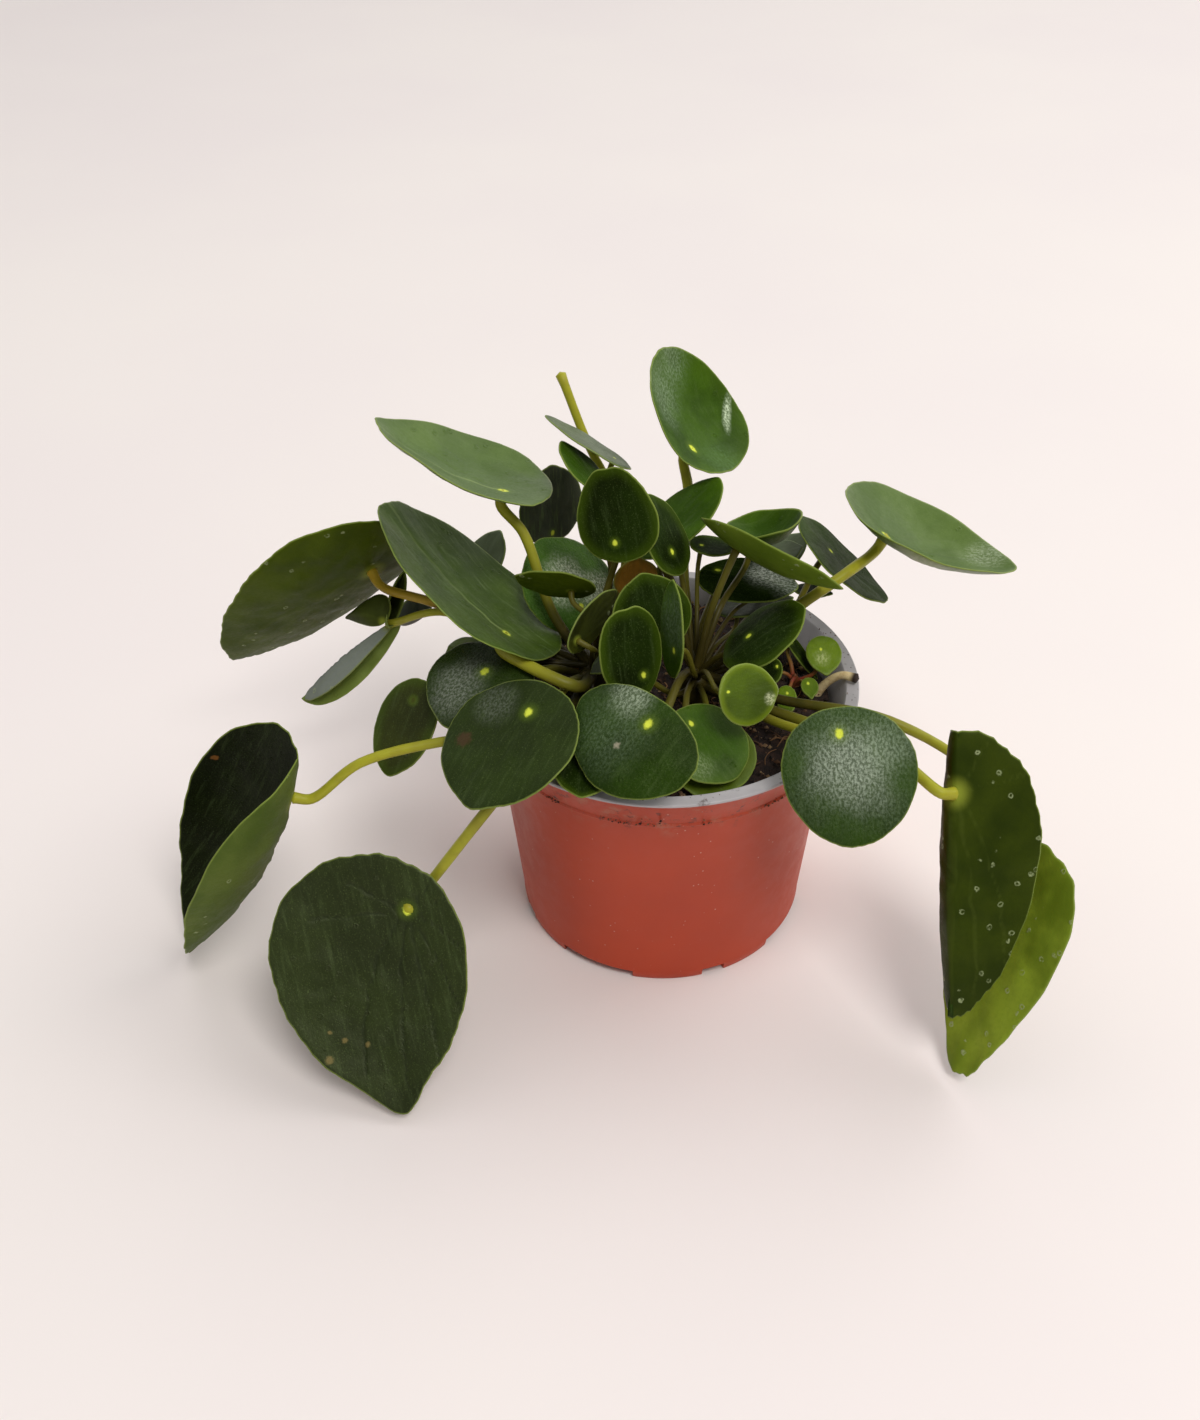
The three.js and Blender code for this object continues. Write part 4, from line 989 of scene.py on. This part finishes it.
def channel_corners(width, angle):
    along = np.array(polar(1, angle))
    across = np.array((-along[1], along[0])) * width / 2
    near, far = along * CHANNEL_INNER_RADIUS, along * (LIP_RADIUS + 1)
    return [tuple(p) for p in (near - across, far - across, far + across, near + across)]


def drain_corners(angle):
    middle_x, middle_y = polar(DRAIN_PLACE, angle)
    return [(middle_x + x, middle_y + y) for x, y in circle(DRAIN_RADIUS, DRAIN_SIDES)]


def red_material():
    s = Shader("pot_red", "#b83c12", 0.46)
    at = s.place_from("Object")
    band_up = s.span(s.part_of(at, "Z"), 0.066, 0.074)
    dusty = s.noise(at, 160, 4, 0.7)
    colour = s.tinted("#b83c12", ("#ac3610", s.noise(at, 22, 3), 0.3, 0.7))
    dust = s.times(s.span(dusty, 0.5, 0.72), s.math("ADD", s.times(band_up, 0.6), 0.04))
    colour = s.mix(dust, colour, "#a8735c")
    specks = s.times(s.span(s.cells(at, 420), 0.05, 0.13, 1, 0), s.span(s.noise(at, 150, 2), 0.52, 0.64), 0.7)
    colour = s.mix(specks, colour, "#cdb9a6")
    grime = s.times(s.span(s.noise(at, 300, 4, 0.7), 0.56, 0.7), band_up, 0.8)
    colour = s.mix(grime, colour, "#3a2018")
    rough = s.span(dusty, 0.3, 0.7, 0.36, 0.5)
    return s.finish(colour, rough, s.bump(s.noise(at, 90, 3), 0.12, 0.0006))


def grey_material():
    s = Shader("pot_grey", "#a39d9a", 0.5)
    at = s.place_from("Object")
    dirt = s.noise(at, 210, 5, 0.7)
    clouds = ("#a6a2a3", s.noise(at, 60, 3), 0.3, 0.7)
    colour = s.tinted("#bcb8b9", clouds, ("#4a3a2e", dirt, 0.58, 0.72, 0, 0.7))
    return s.finish(colour, None, s.bump(dirt, 0.2, 0.0003))


def paint_pot(pot):
    """Grey on the lip and the inside, red elsewhere."""
    for face in pot.data.polygons:
        centre = face.center / MM
        on_top = centre.z > POT_HEIGHT - LIP_THICKNESS + 0.35
        facing = face.normal.x * centre.x + face.normal.y * centre.y
        facing_in = facing < -0.5 * math.hypot(centre.x, centre.y) and centre.z > FLOOR_THICKNESS - 0.3
        face.material_index = 1 if on_top or facing_in else 0


def build_pot():
    pot = revolved("pot_shell", pot_profile(), POT_SIDES)
    for width, first in (WIDE_CHANNEL, NARROW_CHANNEL):
        for turn in range(CHANNEL_COUNT):
            angle = math.radians(first + turn * 360 / CHANNEL_COUNT)
            cut(pot, cutter("channel", channel_corners(width, angle), 2 * CHANNEL_HEIGHT, -CHANNEL_HEIGHT))
    for turn in range(CHANNEL_COUNT):
        angle = math.radians(WIDE_CHANNEL[1] + turn * 360 / CHANNEL_COUNT)
        cut(pot, cutter("drain", drain_corners(angle), FLOOR_THICKNESS + 2, -1))
    dressed(pot, red_material(), "pot", "pot")
    pot.data.materials.append(grey_material())
    paint_pot(pot)
    pot.data.set_sharp_from_angle(angle=math.radians(SHARP_EDGE))


def soil_height(x, y):
    return SOIL_LEVEL + 1.1 * noise.noise((x / 9, y / 9, 2)) + 0.9 * noise.noise((x / 2.6, y / 2.6, 5))


def soil_material():
    s = Shader("soil", "#1d1411", 0.9)
    at = s.place_from("Object")
    lumps = s.noise(at, 420, 6, 0.75)
    colour = s.tinted("#1c120d", ("#40291d", lumps, 0.35, 0.7))
    flecks = s.times(s.span(s.cells(at, 900), 0.05, 0.2, 1, 0), s.span(s.noise(at, 300, 2), 0.58, 0.66))
    colour = s.mix(flecks, colour, "#8a6a4a")
    return s.finish(colour, None, s.bump(lumps, 0.9, 0.0012))


def build_soil():
    """The root ball: a bumpy top that sinks at its edge, and a side that follows the pot's wall."""
    points = [(0, 0, SOIL_LEVEL)]
    for ring in range(1, SOIL_RINGS + 1):
        sunk = SOIL_SINK * max(0, ring / SOIL_RINGS - 0.9) / 0.1
        corners = circle(SOIL_RADIUS * ring / SOIL_RINGS, SOIL_SIDES)
        points += [(x, y, soil_height(x, y) - sunk) for x, y in corners]
    slope = (CREASE_RADIUS - BASE_RADIUS) / (CREASE_HEIGHT - FLOOR_THICKNESS)
    for z in (CREASE_HEIGHT - 1, FLOOR_THICKNESS + 0.6):
        radius = BASE_RADIUS - WALL - 0.5 + slope * (z - FLOOR_THICKNESS)
        points += [(x, y, z) for x, y in circle(radius, SOIL_SIDES)]
    faces = [(0, a, b) for a, b in pairs(1, SOIL_SIDES)]
    last = len(points) - SOIL_SIDES
    for start in range(1, last, SOIL_SIDES):
        faces += [(a, d, c, b) for a, b, c, d in band(start, SOIL_SIDES)]
    faces.append(tuple(last + side for side in reversed(range(SOIL_SIDES))))
    dressed(mesh_object("soil_ball", points, faces), soil_material(), "soil", "soil")


CRUMB_POINTS = ((1, 0, 0), (0, 1, 0), (-1, 0, 0), (0, -1, 0), (0, 0, 1), (0, 0, -1))
CRUMB_FACES = ((0, 1, 4), (1, 2, 4), (2, 3, 4), (3, 0, 4), (1, 0, 5), (2, 1, 5), (3, 2, 5), (0, 3, 5))


def add_crumb(pile, rng, at, size, tone):
    turn = rng.uniform(0, 2 * math.pi)
    c, n = polar(1, turn)
    stretch = size * rng.uniform(0.6, 1.4, 3)
    points = []
    for corner in CRUMB_POINTS:
        x, y, z = np.array(corner) * stretch * rng.uniform(0.75, 1.25)
        points.append((at[0] + x * c - y * n, at[1] + x * n + y * c, at[2] + z))
    pile.add(points, CRUMB_FACES, tone=tone)


def crumb_material():
    s = Shader("crumbs", "#3a281d", 0.9)
    tone = s.attribute("tone")
    return s.finish(s.tinted("#20150f", ("#5e4029", tone, 0.0, 0.6), ("#a98c66", tone, 0.6, 1.0)))


def drawn_angle(rng):
    return rng.uniform(0, 2 * math.pi)


def drawn_place(rng, reach):
    """A place on the soil, drawn evenly over a disc."""
    radius = reach * math.sqrt(rng.uniform(0, 1))
    return polar(radius, drawn_angle(rng))


def build_soil_crumbs(rng, material):
    pile = Pile()
    for _ in range(SOIL_CRUMBS):
        x, y = drawn_place(rng, SOIL_RADIUS - 0.6)
        size = 0.25 + 0.75 * rng.uniform(0, 1) ** 2.5
        add_crumb(pile, rng, (x, y, soil_height(x, y) + 0.2), size, rng.uniform(0, 1) ** 2)
    dressed(pile.make("soil_crumbs", smooth=False), material, "soil")


def build_pot_crumbs(rng, material):
    """Dirt caught above the crease, in patches, and on the lip."""
    pile = Pile()
    for _ in range(CREASE_CRUMBS):
        angle = drawn_angle(rng)
        radius = CREASE_RADIUS + 0.45 + rng.uniform(0, 0.25)
        height = 0.3 + abs(rng.normal(0, 1.3))
        if noise.noise((*polar(3, angle), 4)) < 0.0:
            continue
        at = (*polar(radius + height * BAND_SLOPE, angle), CREASE_HEIGHT + height)
        add_crumb(pile, rng, at, rng.uniform(0.1, 0.42), rng.uniform(0, 0.8))
    for _ in range(LIP_CRUMBS):
        angle = drawn_angle(rng)
        radius = rng.uniform(LIP_RADIUS - LIP_WIDTH + 0.4, LIP_RADIUS - 0.3)
        at = (*polar(radius, angle), POT_HEIGHT + 0.1)
        add_crumb(pile, rng, at, rng.uniform(0.08, 0.28), rng.uniform(0.1, 0.8))
    dressed(pile.make("pot_crumbs", smooth=False), material, "soil")


def fibre_points(rng):
    """Four points of a loose fibre that wanders over the soil."""
    x, y = drawn_place(rng, FIBRE_SPREAD)
    turn = drawn_angle(rng)
    length = rng.uniform(3, 9)
    points = []
    for k in range(4):
        turn += rng.normal(0, 0.5)
        points.append((x, y, soil_height(x, y) + 0.35 + 0.6 * math.sin(k * 1.05) * rng.uniform(0.3, 1)))
        across, along = polar(length / 3, turn)
        x += across
        y += along
    return points


def build_fibres(rng):
    pile = Pile()
    for _ in range(SOIL_FIBRES):
        points = fibre_points(rng)
        if max(math.hypot(*points[0][:2]), math.hypot(*points[-1][:2])) > FIBRE_LIMIT:
            continue
        curve = spline(points, 3)
        radius = rng.uniform(0.08, 0.26)
        pile.add(*tube(curve, np.full(len(curve), radius), FIBRE_SIDES), tone=rng.uniform(0, 1))
    s = Shader("fibre", "#6b4630", 0.85)
    material = s.finish(s.mix(s.attribute("tone"), "#3a2519", "#a1764c"))
    dressed(pile.make("soil_fibres"), material, "soil")


def build_loose_bits(rng):
    material = crumb_material()
    build_soil_crumbs(rng, material)
    build_pot_crumbs(rng, material)
    build_fibres(rng)


def build_stage():
    s = Shader("floor", "#f8efeb", 0.8)
    clouds = s.noise(s.place_from("Object"), 3, 3)
    material = s.finish(s.tinted("#f3ebe6", ("#f0e7e4", clouds, 0.3, 0.7)))
    signs = ((-1, -1), (1, -1), (1, 1), (-1, 1))
    floor = mesh_object("floor", [(x * FLOOR_HALF, y * FLOOR_HALF, 0) for x, y in signs], [(0, 1, 2, 3)])
    floor.data.materials.append(material)


def build_world():
    """A bright room behind the plant and overhead, dim behind the camera, which sees an even backdrop."""
    world = bpy.data.worlds.new("studio")
    s = Nodes(world)
    room = s.span(s.part_of(s.place_from("Generated"), "Y"), -0.35, 0.7, 0.3, 0.88)
    seen = s.node("ShaderNodeLightPath", {}, "Is Camera Ray")
    strength = s.node("ShaderNodeMix", dict(Factor=seen, A=room, B=BACKDROP))
    s.feed(s.tree.nodes["Background"].inputs, dict(Color=(0.95, 0.945, 0.95, 1), Strength=strength))
    bpy.context.scene.world = world


def area_light(name, direction, size, power, colour):
    """A light 3 m from the plant, in that direction."""
    light = bpy.data.lights.new(name, "AREA")
    light.shape = "RECTANGLE"
    light.size, light.size_y = size
    light.energy = power
    light.color = colour
    made = linked(name, light)
    towards = Vector(direction).normalized()
    made.location = Vector((0, 0, 0.08)) + towards * 3
    made.rotation_euler = towards.to_track_quat("Z", "Y").to_euler()


def build_lights():
    area_light("softbox", (0.27, -0.48, 0.85), (1.1, 1.1), 43, (1, 0.985, 0.965))
    area_light("window", (0.7, 0.4, 0.75), (3.2, 2.6), 36, (1, 0.99, 0.98))
    bpy.context.scene.view_settings.view_transform = "Standard"


def build_camera():
    camera = bpy.data.cameras.new("camera")
    camera.sensor_fit = "AUTO"
    camera.sensor_width = 36
    camera.lens = LENS
    camera.clip_start = 0.01
    made = linked("camera", camera)
    turns = ((-CAMERA_YAW, "Z"), (90 - CAMERA_PITCH, "X"), (CAMERA_ROLL, "Z"))
    yaw, pitch, roll = [Matrix.Rotation(math.radians(degrees), 4, axis) for degrees, axis in turns]
    made.matrix_world = Matrix.Translation(Vector(CAMERA_AT) * MM) @ yaw @ pitch @ roll
    bpy.context.scene.camera = made


build_pot()
build_soil()
build_stalks()
build_leaves()
build_loose_bits(np.random.default_rng(7))
build_stage()
build_world()
build_lights()
build_camera()
